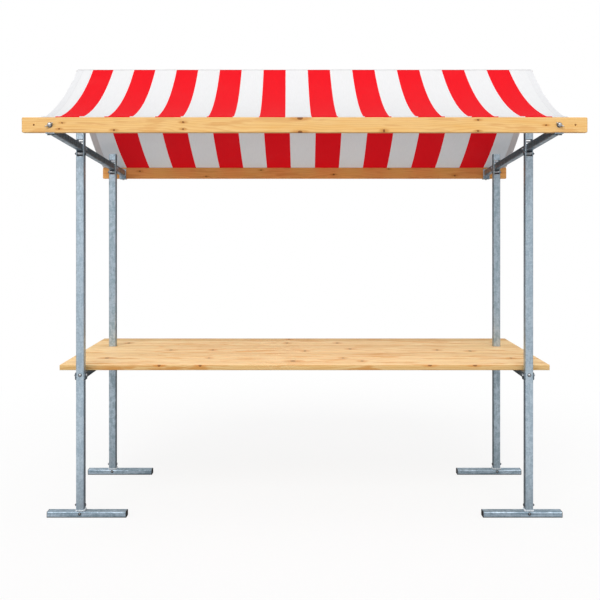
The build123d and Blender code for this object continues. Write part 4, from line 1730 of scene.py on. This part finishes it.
@dataclass
class Fixings:
    """Bolts, nuts and screws, each in the place of its CAD solid."""

    frame: dict
    kit: Kit
    zinc: Material
    # Darker copy of the zinc plate, which paints shade on fixings
    dull_zinc: Material
    shank_radius: float = 4 * MM
    hex_radius: float = 7 * MM
    head_height: float = 5.5 * MM
    nut_height: float = 6.5 * MM
    thread_length: float = 3 * MM
    thread_pitch: float = 1.25 * MM
    washer_radius: float = 7.6 * MM
    washer_thickness: float = 1.2 * MM
    shelf_shank_radius: float = 3 * MM
    shelf_head_radius: float = 5.5 * MM
    shelf_head_height: float = 4 * MM
    shelf_hex_share: float = 0.93
    shelf_washer: float = 0.8 * MM
    lock_radius: float = 7 * MM
    lock_height: float = 4 * MM
    lock_lip: float = 0.6 * MM
    # Dark ring under the head, a painted shadow
    lock_ring: Pair = (9.5 * MM, 0.8 * MM)
    cross_head: float = 3 * MM
    cross_radius: float = 3 * MM
    wing_proud: float = 17 * MM
    wing_reach: float = 20 * MM
    wing_half_thickness: float = 1.5 * MM
    wing_ease: float = 0.6 * MM
    wing_tilt: float = 27.0

    def build(self) -> list[Object]:
        """Every set of fixings, one piece for each CAD node.

        Returns:
            The new pieces.
        """
        names = [f"{corner}_head_bolt" for corner in CORNERS]
        names += [f"{side}_{kind}" for side in Side for kind in ("stop_bolts", "carrier_bolts")]
        names += ["foot_bolts", "strut_bolts", "ridge_bolts"]
        pieces = [self.bolt_set(name, seed) for seed, name in enumerate(names)]
        for row in Row:
            pieces += [self.shelf_screws(row), self.wing_screws(row)]
        return pieces + [self.lock_screws(), self.cross_bolts()]

    def _hexagons(self, node: str, places: list[tuple[Vector, Vector]], plate: Material,
                  **changed: object) -> Object:
        """Hexagon fasteners in the place of one node.

        Args:
            node: The CAD node.
            places: Their places and directions.
            plate: Their finish.
            **changed: Inputs of the fastener tree that differ from a nutted bolt's.

        Returns:
            The finished piece.
        """
        sizes = {key: getattr(self, key) for key in (
            "shank_radius", "hex_radius", "head_height", "nut_height", "washer_radius", "washer_thickness",
            "thread_length", "thread_pitch")}
        return self.kit.run(f"{node}_detailed", points_mesh(node, places), self.kit.fasteners, plate,
                            Slot.ZINC, 30.0, node, **{**sizes, "with_nut": True, **changed})

    def bolt_set(self, node: str, seed: int) -> Object:
        """Hexagon bolts of one node, with their nuts outwards or, along Y, to the rear.

        Args:
            node: The CAD node.
            seed: Seed of their small turns.

        Returns:
            The finished piece.
        """
        axis = 1 if node == "ridge_bolts" else 0
        beyond = self.nut_height + self.thread_length
        places = []
        half_grip = 0.0
        for box in solid_boxes(self.frame, node):
            outward = 1.0 if axis == 1 or box.centre.x > 0 else -1.0
            half_grip = (box.size[axis] - self.head_height - beyond) / 2
            middle, aim = box.centre, Vector((0.0, 0.0, 0.0))
            middle[axis] = box.face(axis, outward) - outward * (half_grip + beyond)
            aim[axis] = outward
            places.append((middle, aim))
        # All but the stop and carrier bolts take the darker zinc: painted shade
        plate = self.zinc if node.endswith(("stop_bolts", "carrier_bolts")) else self.dull_zinc
        return self._hexagons(node, places, plate, half_grip=half_grip, seed=seed)

    def shelf_screws(self, row: Row) -> Object:
        """Hexagon screws up into a beam, whose threads are hidden in the wood.

        Args:
            row: The beam's row.

        Returns:
            The finished piece.
        """
        node = f"{row}_shelf_screws"
        boxes = solid_boxes(self.frame, node)
        half_grip = (boxes[-1].size.z - self.shelf_head_height) / 2
        places = [(Vector((box.centre.x, box.centre.y, box.high.z - half_grip)), Vector((0, 0, 1)))
                  for box in boxes]
        return self._hexagons(
            node, places, self.zinc, half_grip=half_grip, shank_radius=self.shelf_shank_radius,
            hex_radius=self.shelf_head_radius * self.shelf_hex_share, head_height=self.shelf_head_height,
            washer_radius=self.shelf_head_radius, washer_thickness=self.shelf_washer, with_nut=False, seed=2)

    def _turn(self, shape: BMesh, profile: list[Pair], foot: Vector, way: float,
              segments: int, painted_shade: bool = False) -> None:
        """Turn a profile into a solid that points along Y.

        Args:
            shape: What the faces go into.
            profile: Radius and height pairs.
            foot: Where its height is 0.
            way: Sign of its direction.
            segments: Corners of each ring.
            painted_shade: Whether it gets the darker zinc that paints shade.
        """
        turn = Vector((0, way, 0)).to_track_quat("Z", "Y").to_matrix().to_4x4()
        for face in lathe(shape, profile, Matrix.Translation(foot) @ turn, segments):
            face.material_index = int(painted_shade)

    def _turned(self, node: str, shape: BMesh) -> Object:
        """Piece of turned solids that stands for a node.

        Args:
            node: The CAD node.
            shape: The solids, which are freed.

        Returns:
            The finished piece.
        """
        bmesh.ops.recalc_face_normals(shape, faces=shape.faces)
        piece = from_bmesh(f"{node}_detailed", shape, 30.0)
        return declare(piece, Slot.ZINC, self.zinc, self.dull_zinc, node=node)

    def lock_screws(self) -> Object:
        """Domed screws with a driver recess and a dark ring that paints their shadow, which face the
        customer.

        Returns:
            The finished piece.
        """
        radius, lip, rise = self.lock_radius, self.lock_lip, self.lock_height - self.lock_lip
        turns = (math.pi / 16 * k for k in range(7))
        dome = [(radius * math.cos(turn), lip + rise * math.sin(turn)) for turn in turns]
        rim, depth = 2.6 * MM, 1.6 * MM
        top = lip + rise * math.sqrt(1 - (rim / radius) ** 2)
        head = [(0, 0), (radius, 0), *dome, (rim, top), (rim * 0.92, top - 0.2 * MM),
                (rim * 0.85, top - depth), (0, top - depth - 0.5 * MM)]
        shape = bmesh.new()
        for box in solid_boxes(self.frame, "lock_screws"):
            foot = Vector((box.centre.x, box.low.y + self.lock_height, box.centre.z))
            self._turn(shape, head, foot, -1, 40)
            # The ring's darker zinc is a painted shadow round the head
            self._turn(shape, rod_profile(*self.lock_ring), foot, -1, 40, painted_shade=True)
            self._turn(shape, rod_profile(self.shank_radius, box.size.y - self.lock_height), foot, 1, 20)
        return self._turned("lock_screws", shape)

    def cross_bolts(self) -> Object:
        """Round-headed bolts across the feet, with a raised middle in a sunk ring.

        Returns:
            The finished piece.
        """
        rim = millimetres((0, 0), (8, 0), (8, 1.3), (7.4, 1.9), (6.4, 1.9), (5.6, 0.9), (0, 0.9))
        boss = [*millimetres((0, 0), (4.0, 0), (3.9, 2.4), (3.2, 2.9)), (0, self.cross_head)]
        shape = bmesh.new()
        for box in solid_boxes(self.frame, "foot_cross_bolts"):
            front, rear = (Vector((box.centre.x, box.face(1, way) - way * self.cross_head, box.centre.z))
                           for way in (-1, 1))
            for foot, way in ((front, -1), (rear, 1)):
                self._turn(shape, boss, foot, way, 32)
                # The rim's darker zinc paints the shadow ring round the raised middle
                self._turn(shape, rim, foot, way, 32, painted_shade=True)
            self._turn(shape, rod_profile(self.cross_radius, rear.y - front.y), front, 1, 16)
        return self._turned("foot_cross_bolts", shape)

    def wing_screws(self, row: Row) -> Object:
        """Wing screws through one beam, each with a collar, a waisted hub and two wings.

        Args:
            row: The beam's row.

        Returns:
            The finished piece.
        """
        node, outward = f"{row}_wing_screws", row.outward
        collar = millimetres((0, 0), (12, 0), (12, 1.4), (11.2, 2.0), (0, 2.0))
        hub = millimetres((0, 0), (9.0, 0), (8.4, 7.0), (8.8, 8.0), (8.2, 9.2), (6.2, 9.9), (0, 10))
        shape = bmesh.new()
        for box in solid_boxes(self.frame, node):
            foot = Vector((box.centre.x, box.face(1, outward) - outward * self.wing_proud,
                           node_box(f"{row}_beam").centre.z))
            self._turn(shape, hub, foot, outward, 32)
            # The collar's darker zinc paints shade round the hub's foot
            self._turn(shape, collar, foot, outward, 32, painted_shade=True)
            shank = rod_profile(self.shank_radius, box.size.y - self.wing_proud)
            self._turn(shape, shank, foot, -outward, 20)
            lean = math.radians(self.wing_tilt) * (-1 if box.centre.x < 0 else 1)
            place = Matrix.Translation(foot) @ Matrix.Rotation(lean, 4, "Y")
            for way in (1.0, -1.0):
                self._wing(shape, place, way, outward)
        return self._turned(node, shape)

    def _wing(self, shape: BMesh, place: Matrix, way: float, outward: float) -> None:
        """One wing: a tapered, round-ended plate that leans away from the beam.

        Args:
            shape: What the faces go into.
            place: Middle of the hub's foot, turned about Y.
            way: Sign of the wing's own direction.
            outward: Sign along Y of the beam's outer side.
        """
        root, root_radius, tip_radius = Vector((4 * MM, 5.2 * MM)), 3.2 * MM, 4.8 * MM
        tip = Vector((self.wing_reach - tip_radius, self.wing_proud - tip_radius))
        axis = tip - root
        lean = math.atan2(axis.y, axis.x)
        open_turn = math.acos((root_radius - tip_radius) / axis.length)
        outline = []
        for middle, radius, start, span, steps in (
                (tip, tip_radius, lean - open_turn, 2 * open_turn, 12),
                (root, root_radius, lean + open_turn, 2 * math.pi - 2 * open_turn, 6)):
            turns = (start + span * k / steps for k in range(steps + 1))
            outline += [middle + radius * Vector((math.cos(turn), math.sin(turn))) for turn in turns]
        middle = sum(outline, Vector((0, 0))) / len(outline)
        half, ease = self.wing_half_thickness, self.wing_ease
        rings = []
        for inset, thick in ((ease, -half), (0.0, -half + ease), (0.0, half - ease), (ease, half)):
            flats = [point + (middle - point).normalized() * inset for point in outline]
            rings.append([shape.verts.new(place @ Vector((way * flat.x, outward * flat.y, thick)))
                          for flat in flats])
        loft(shape, rings)


# ------------------------ steel frame
@dataclass
class SteelFrame:
    """Posts, feet, roof bars, carriers and struts, and the weld beads on them."""

    frame: dict
    kit: Kit
    effects: Effects
    bar_width: float = 30 * MM
    bar_height: float = 35 * MM
    strut_side: float = 30 * MM
    plate: float = 5 * MM
    bead_radius: float = 2.2 * MM
    seat_bead_radius: float = 5.0 * MM
    ripple_length: float = 2.6 * MM
    ripple_depth: float = 0.16
    weld_corner: float = 3 * MM

    def dress(self, zinc: Material) -> None:
        """Give every steel and plastic node its finish.

        Args:
            zinc: Finish of the spacers and pins.
        """
        along_bar = (1.0, 0.08, 1.0)
        # Darker copy of the galvanised finish: painted shade on the feet, with a painted contact shadow at
        # their ground line
        foot = Galvanised("galvanised_foot", light=(0.54, 0.65, 0.75), dark=(0.27, 0.36, 0.43),
                          roughness=(0.52, 0.66), streak_shape=(0.05, 1.0, 1.0), streak_share=0.6,
                          ground_line=4 * MM)
        # Darker copy of the galvanised finish: painted shade on the roof bars and struts under the canopy
        bar = Galvanised("galvanised_bar", light=(0.33, 0.41, 0.47), dark=(0.18, 0.23, 0.28),
                         streak_shape=along_bar)
        # Darker copy of the galvanised finish: painted shade on the carriers under the table
        carrier = Galvanised("galvanised_carrier", light=(0.24, 0.30, 0.35), dark=(0.11, 0.14, 0.17),
                             streak_shape=along_bar)
        # Painted light below the table on the front posts
        front_post = Galvanised("galvanised_front_post", low_gain=1.11)
        # Darker copy of the galvanised finish: painted shade on the rear posts, deeper under the canopy, with
        # painted light below the table
        rear_post = Galvanised("galvanised_rear_post", light=(0.49, 0.58, 0.66), dark=(0.30, 0.39, 0.45),
                               low_gain=1.24)
        for finish, names in (
                (front_post, [f"front_{side}_post" for side in Side]),
                (rear_post, [f"rear_{side}_post" for side in Side]),
                (foot, [f"{corner}_foot" for corner in CORNERS]),
                (MouldedPlastic("moulded_cap"), [f"{corner}_foot_caps" for corner in CORNERS]),
                (carrier, [f"{side}_table_carrier" for side in Side]),
                (bar, [f"{side}_{part}" for side in Side for part in ("roof_bar", "ridge_strut")])):
            dress_nodes(self.frame, names, finish.material(self.effects))
        dress_nodes(self.frame, ["head_spacers", "keeper_pins"], zinc)

    def build(self) -> list[Object]:
        """Weld beads, one piece for each kind of joint.

        Returns:
            The new pieces.
        """
        metal = WeldMetal("weld_metal").material(self.effects)
        welds = (("foot_welds", self._foot_paths(), self.seat_bead_radius),
                 ("end_plate_welds", self._end_plate_paths(), self.bead_radius),
                 ("strut_welds", self._strut_paths(), self.bead_radius))
        return [self.kit.run(name, paths_mesh(name, loops, closed=True), self.kit.bead, metal, Slot.STEEL,
                             50.0, bead_radius=radius, ripple_length=self.ripple_length,
                             ripple_depth=self.ripple_depth, seed=seed)
                for seed, (name, loops, radius) in enumerate(welds)]

    def _ring(self, middle: Sequence[float], width: float, up: Sequence[float],
              corner: float) -> list[Vector]:
        """Closed path round a rectangle with rounded corners.

        Args:
            middle: Its middle.
            width: Half of its width, along X.
            up: Half of its height, as a vector.
            corner: Radius of its corners.

        Returns:
            The path's points.
        """
        height = Vector(up).length - corner
        across, rise = Vector((1, 0, 0)), Vector(up).normalized()
        turns = ((sx, sy, math.pi / 2 * (k + j / 3))
                 for k, (sx, sy) in enumerate(((1, 1), (-1, 1), (-1, -1), (1, -1))) for j in range(4))
        return [Vector(middle) + across * (sx * (width - corner) + corner * math.cos(turn))
                + rise * (sy * height + corner * math.sin(turn)) for sx, sy, turn in turns]

    def _foot_paths(self) -> list[list[Vector]]:
        """Paths round each post's seat on its foot.

        Returns:
            Points of each path.
        """
        paths = []
        for corner in CORNERS:
            post, caps = node_box(f"{corner}_post"), node_box(f"{corner}_foot_caps")
            half = post.size.x / 2 - 1 * MM
            middle = (post.centre.x, post.centre.y, (caps.high.z + post.low.z) / 2)
            paths.append(self._ring(middle, half, (0, half, 0), 2 * MM))
        return paths

    def _end_plate_paths(self) -> list[list[Vector]]:
        """Paths round both ends of each roof bar, whose slope its two stop bolts give.

        Returns:
            Points of each path.
        """
        paths = []
        for side in Side:
            x = node_box(f"{side}_roof_bar").centre.x
            near, far = sorted((box.centre for box in solid_boxes(self.frame, f"{side}_stop_bolts")),
                               key=lambda place: place.y)
            slope = (far.z - near.z) / (far.y - near.y)
            for y in (node_box("front_beam").high.y + self.plate, node_box("rear_beam").low.y - self.plate):
                paths.append(self._ring((x, y, near.z + slope * (y - near.y)), self.bar_width / 2,
                                        (0, 0, self.bar_height / 2), 4 * MM))
        return paths

    def _strut_paths(self) -> list[list[Vector]]:
        """Paths round each strut's mitre and under its shoe.

        Returns:
            Points of each path.
        """
        paths = []
        ridge, half = node_box("ridge_board"), self.strut_side / 2
        under = ridge.low.z - self.plate
        for side in Side:
            post = node_box(f"front_{side}_post")
            x, y, mitre = post.centre.x, post.centre.y, post.high.z
            lean = math.atan2(ridge.centre.y - y, under - mitre)
            stretch = half / math.cos(lean / 2)
            tilt = (0, stretch * math.cos(lean / 2), -stretch * math.sin(lean / 2))
            flat = (0, half / math.cos(lean), 0)
            paths.append(self._ring((x, y, mitre), half, tilt, self.weld_corner))
            paths.append(self._ring((x, ridge.centre.y, under), half, flat, self.weld_corner))
        return paths


# ------------------------ studio
@dataclass
class Studio:
    """Pale floor, plain soft light and the camera in front of the stall.

    World and floor are white where they are seen, and dimmer where metal mirrors them.
    """

    camera_back: float = 4.372
    camera_height: float = 1.490
    lens: float = 52.4
    shift: Pair = (-0.0077, -0.1333)
    front_light: float = 0.52
    top_light: float = 0.42
    dim_light: float = 0.20
    dim_mirrored: float = 0.02
    top_mirrored: float = 2.9
    horizon_mirrored: float = 0.15
    key_energy: float = 1.72
    key_spread: float = 50.0
    fill_energy: float = 7.0
    lift_energy: float = 6.6
    lift_colour: Colour = (0.34, 0.67, 1.0)
    panel_spread: float = 1.3
    panel_gap: float = 0.05
    floor_bounce: Colour = (0.42, 0.42, 0.42)
    floor_seen: Colour = (0.95, 0.95, 0.95)
    floor_glow: float = 0.84
    floor_mirrored: Pair = (0.62, 0.04)
    floor_half: float = 30.0

    def build(self) -> None:
        """Set up everything that isn't part of the stall."""
        scene = bpy.context.scene
        scene.view_settings.view_transform = "Standard"
        self._world(scene)
        self._camera(scene)
        self._floor()
        self._key()
        over, under = node_box("rear_beam").low.z, node_box("rear_table_board").high.z
        self._panel_light("fill", self.fill_energy, over - self.panel_gap, 0.0, WHITE)
        self._panel_light("lift", self.lift_energy, under + self.panel_gap, math.pi, self.lift_colour)

    def _world(self, scene: Scene) -> None:
        """Light that is strong in front and above and dim at the sides, and white where it is seen.

        Args:
            scene: The scene that it lights.
        """
        world = bpy.data.worlds.new("studio")
        scene.world = world
        w = Wiring(cleared(world))
        camera, mirrored, sent = self._rays(w)
        _, y, z = w.split(w.out("ShaderNodeTexCoord", output="Generated"))
        front = w.math("MAXIMUM", y * -1.0, 0.0) * self.front_light
        high = w.math("MAXIMUM", z - mirrored * self.horizon_mirrored, 0.0)
        top = w.math("MINIMUM", high * w.mix(mirrored, self.top_light, self.top_mirrored), 1.0)
        light = front + top + w.mix(mirrored, self.dim_light, self.dim_mirrored)
        back = w.out("ShaderNodeBackground", {
            "Color": WHITE, "Strength": w.mix(w.math("MAXIMUM", camera, sent), light, 1.0)})
        w.node("ShaderNodeOutputWorld", {"Surface": back})

    def _rays(self, w: Wiring) -> list[Term]:
        """Whether a ray comes from the camera, off a mirroring surface, or through a clear one."""
        path = w.node("ShaderNodeLightPath")
        return [Term(w, path.outputs[f"Is {kind} Ray"]) for kind in ("Camera", "Glossy", "Transmission")]

    def _camera(self, scene: Scene) -> None:
        """Level camera in front of the posts.

        Args:
            scene: The scene that it shows.
        """
        data = bpy.data.cameras.new("camera")
        data.lens = self.lens
        data.shift_x, data.shift_y = self.shift
        data.clip_end = 200.0
        camera = bpy.data.objects.new("camera", data)
        camera.location = (0.0, node_box("front_left_post").low.y - self.camera_back, self.camera_height)
        camera.rotation_euler = (math.pi / 2, 0.0, 0.0)
        scene.collection.objects.link(camera)
        scene.camera = camera

    def _floor(self) -> None:
        """Pale floor that keeps the stall's shadow and fades to the backdrop's white."""
        mesh = bpy.data.meshes.new("floor")
        mesh.from_pydata([(x * self.floor_half, y * self.floor_half, -0.5 * MM)
                          for x, y in ((-1, -1), (1, -1), (1, 1), (-1, 1))], [], [(0, 1, 2, 3)])
        material = bpy.data.materials.new("pale_floor")
        w = Wiring(cleared(material))
        camera, mirrored, _ = self._rays(w)
        seen = w.math("MAXIMUM", camera, mirrored)
        place = w.out("ShaderNodeTexCoord", output="Object")
        x, y, _ = w.split(place)
        half = w.math("MAXIMUM", y * 0.22 - 0.3, 1.1)
        inside = (w.math("ABSOLUTE", x) - half).remap((0.6, 0.0)) * y.remap((-1.1, -0.5))
        shine = w.mix(mirrored, 1.0, inside.remap((0.0, 1.0), self.floor_mirrored))
        away = w.vector("LENGTH", place).remap((1.6, 4.0), (self.floor_glow, 1.0), smooth=True)
        diffuse = w.out("ShaderNodeBsdfDiffuse", {"Color": w.blend(seen, self.floor_bounce, self.floor_seen)})
        glow = w.out("ShaderNodeEmission", {"Color": WHITE, "Strength": shine})
        w.node("ShaderNodeOutputMaterial", {
            "Surface": w.out("ShaderNodeMixShader", {0: seen * away, 1: diffuse, 2: glow})})
        mesh.materials.append(material)
        link("floor", mesh)

    def _lamp(self, name: str, kind: str, energy: float) -> Object:
        """Lamp of a kind and an energy, in the scene.

        Args:
            name: Its name.
            kind: Its type.
            energy: Its power.

        Returns:
            The lamp.
        """
        data = bpy.data.lights.new(name, kind)
        data.energy = energy
        lamp = bpy.data.objects.new(name, data)
        bpy.context.scene.collection.objects.link(lamp)
        return lamp

    def _key(self) -> None:
        """Wide soft light from above the customer's left shoulder."""
        key = self._lamp("key", "SUN", self.key_energy)
        key.data.angle = math.radians(self.key_spread)
        key.rotation_euler = Vector((0.18, 1.0, -0.75)).to_track_quat("-Z", "Y").to_euler()

    def _panel_light(self, name: str, energy: float, height: float, turn: float, colour: Colour) -> None:
        """Soft light over or under the table, which nothing mirrors.

        Args:
            name: Its name.
            energy: Its power in watts.
            height: Its height.
            turn: Its turn about X, 0 to shine down and pi to shine up.
            colour: Its colour.
        """
        table = Box(node_box("front_table_board").low, node_box("rear_table_board").high)
        light = self._lamp(name, "AREA", energy)
        light.data.shape = "RECTANGLE"
        light.data.size = table.size.x * self.panel_spread
        light.data.size_y = table.size.y
        light.data.color = colour
        light.location = (0.0, table.centre.y, height)
        light.rotation_euler = (turn, 0.0, 0.0)
        light.visible_camera = False
        light.visible_glossy = False


def main() -> None:
    """Build the stall's looks on its frame, one sub-assembly after another."""
    logging.basicConfig(level=logging.INFO, format="%(name)s: %(message)s")
    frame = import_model()

    effects = Effects()
    kit = Kit()
    zinc = ZincPlate("zinc_plate").material(effects)
    # Darker copy of the zinc plate: painted shade on bolts, rings and collars
    dull_zinc = ZincPlate("dull_zinc_plate", light=(0.22, 0.23, 0.25),
                          dark=(0.045, 0.048, 0.055)).material(effects)

    steel = SteelFrame(frame, kit, effects)
    steel.dress(zinc)
    groups = {
        "steel frame": steel.build(),
        "timber": Timber(frame, effects).build(),
        "fixings": Fixings(frame, kit, zinc, dull_zinc).build(),
        "canopy": Canopy(kit, effects).build(zinc),
    }
    for group, pieces in groups.items():
        for piece in pieces:
            log.info("%s: %s, %d faces", group, piece.name, len(piece.data.polygons))
    Studio().build()

    bpy.context.view_layer.update()


if __name__ == "__main__":
    main()
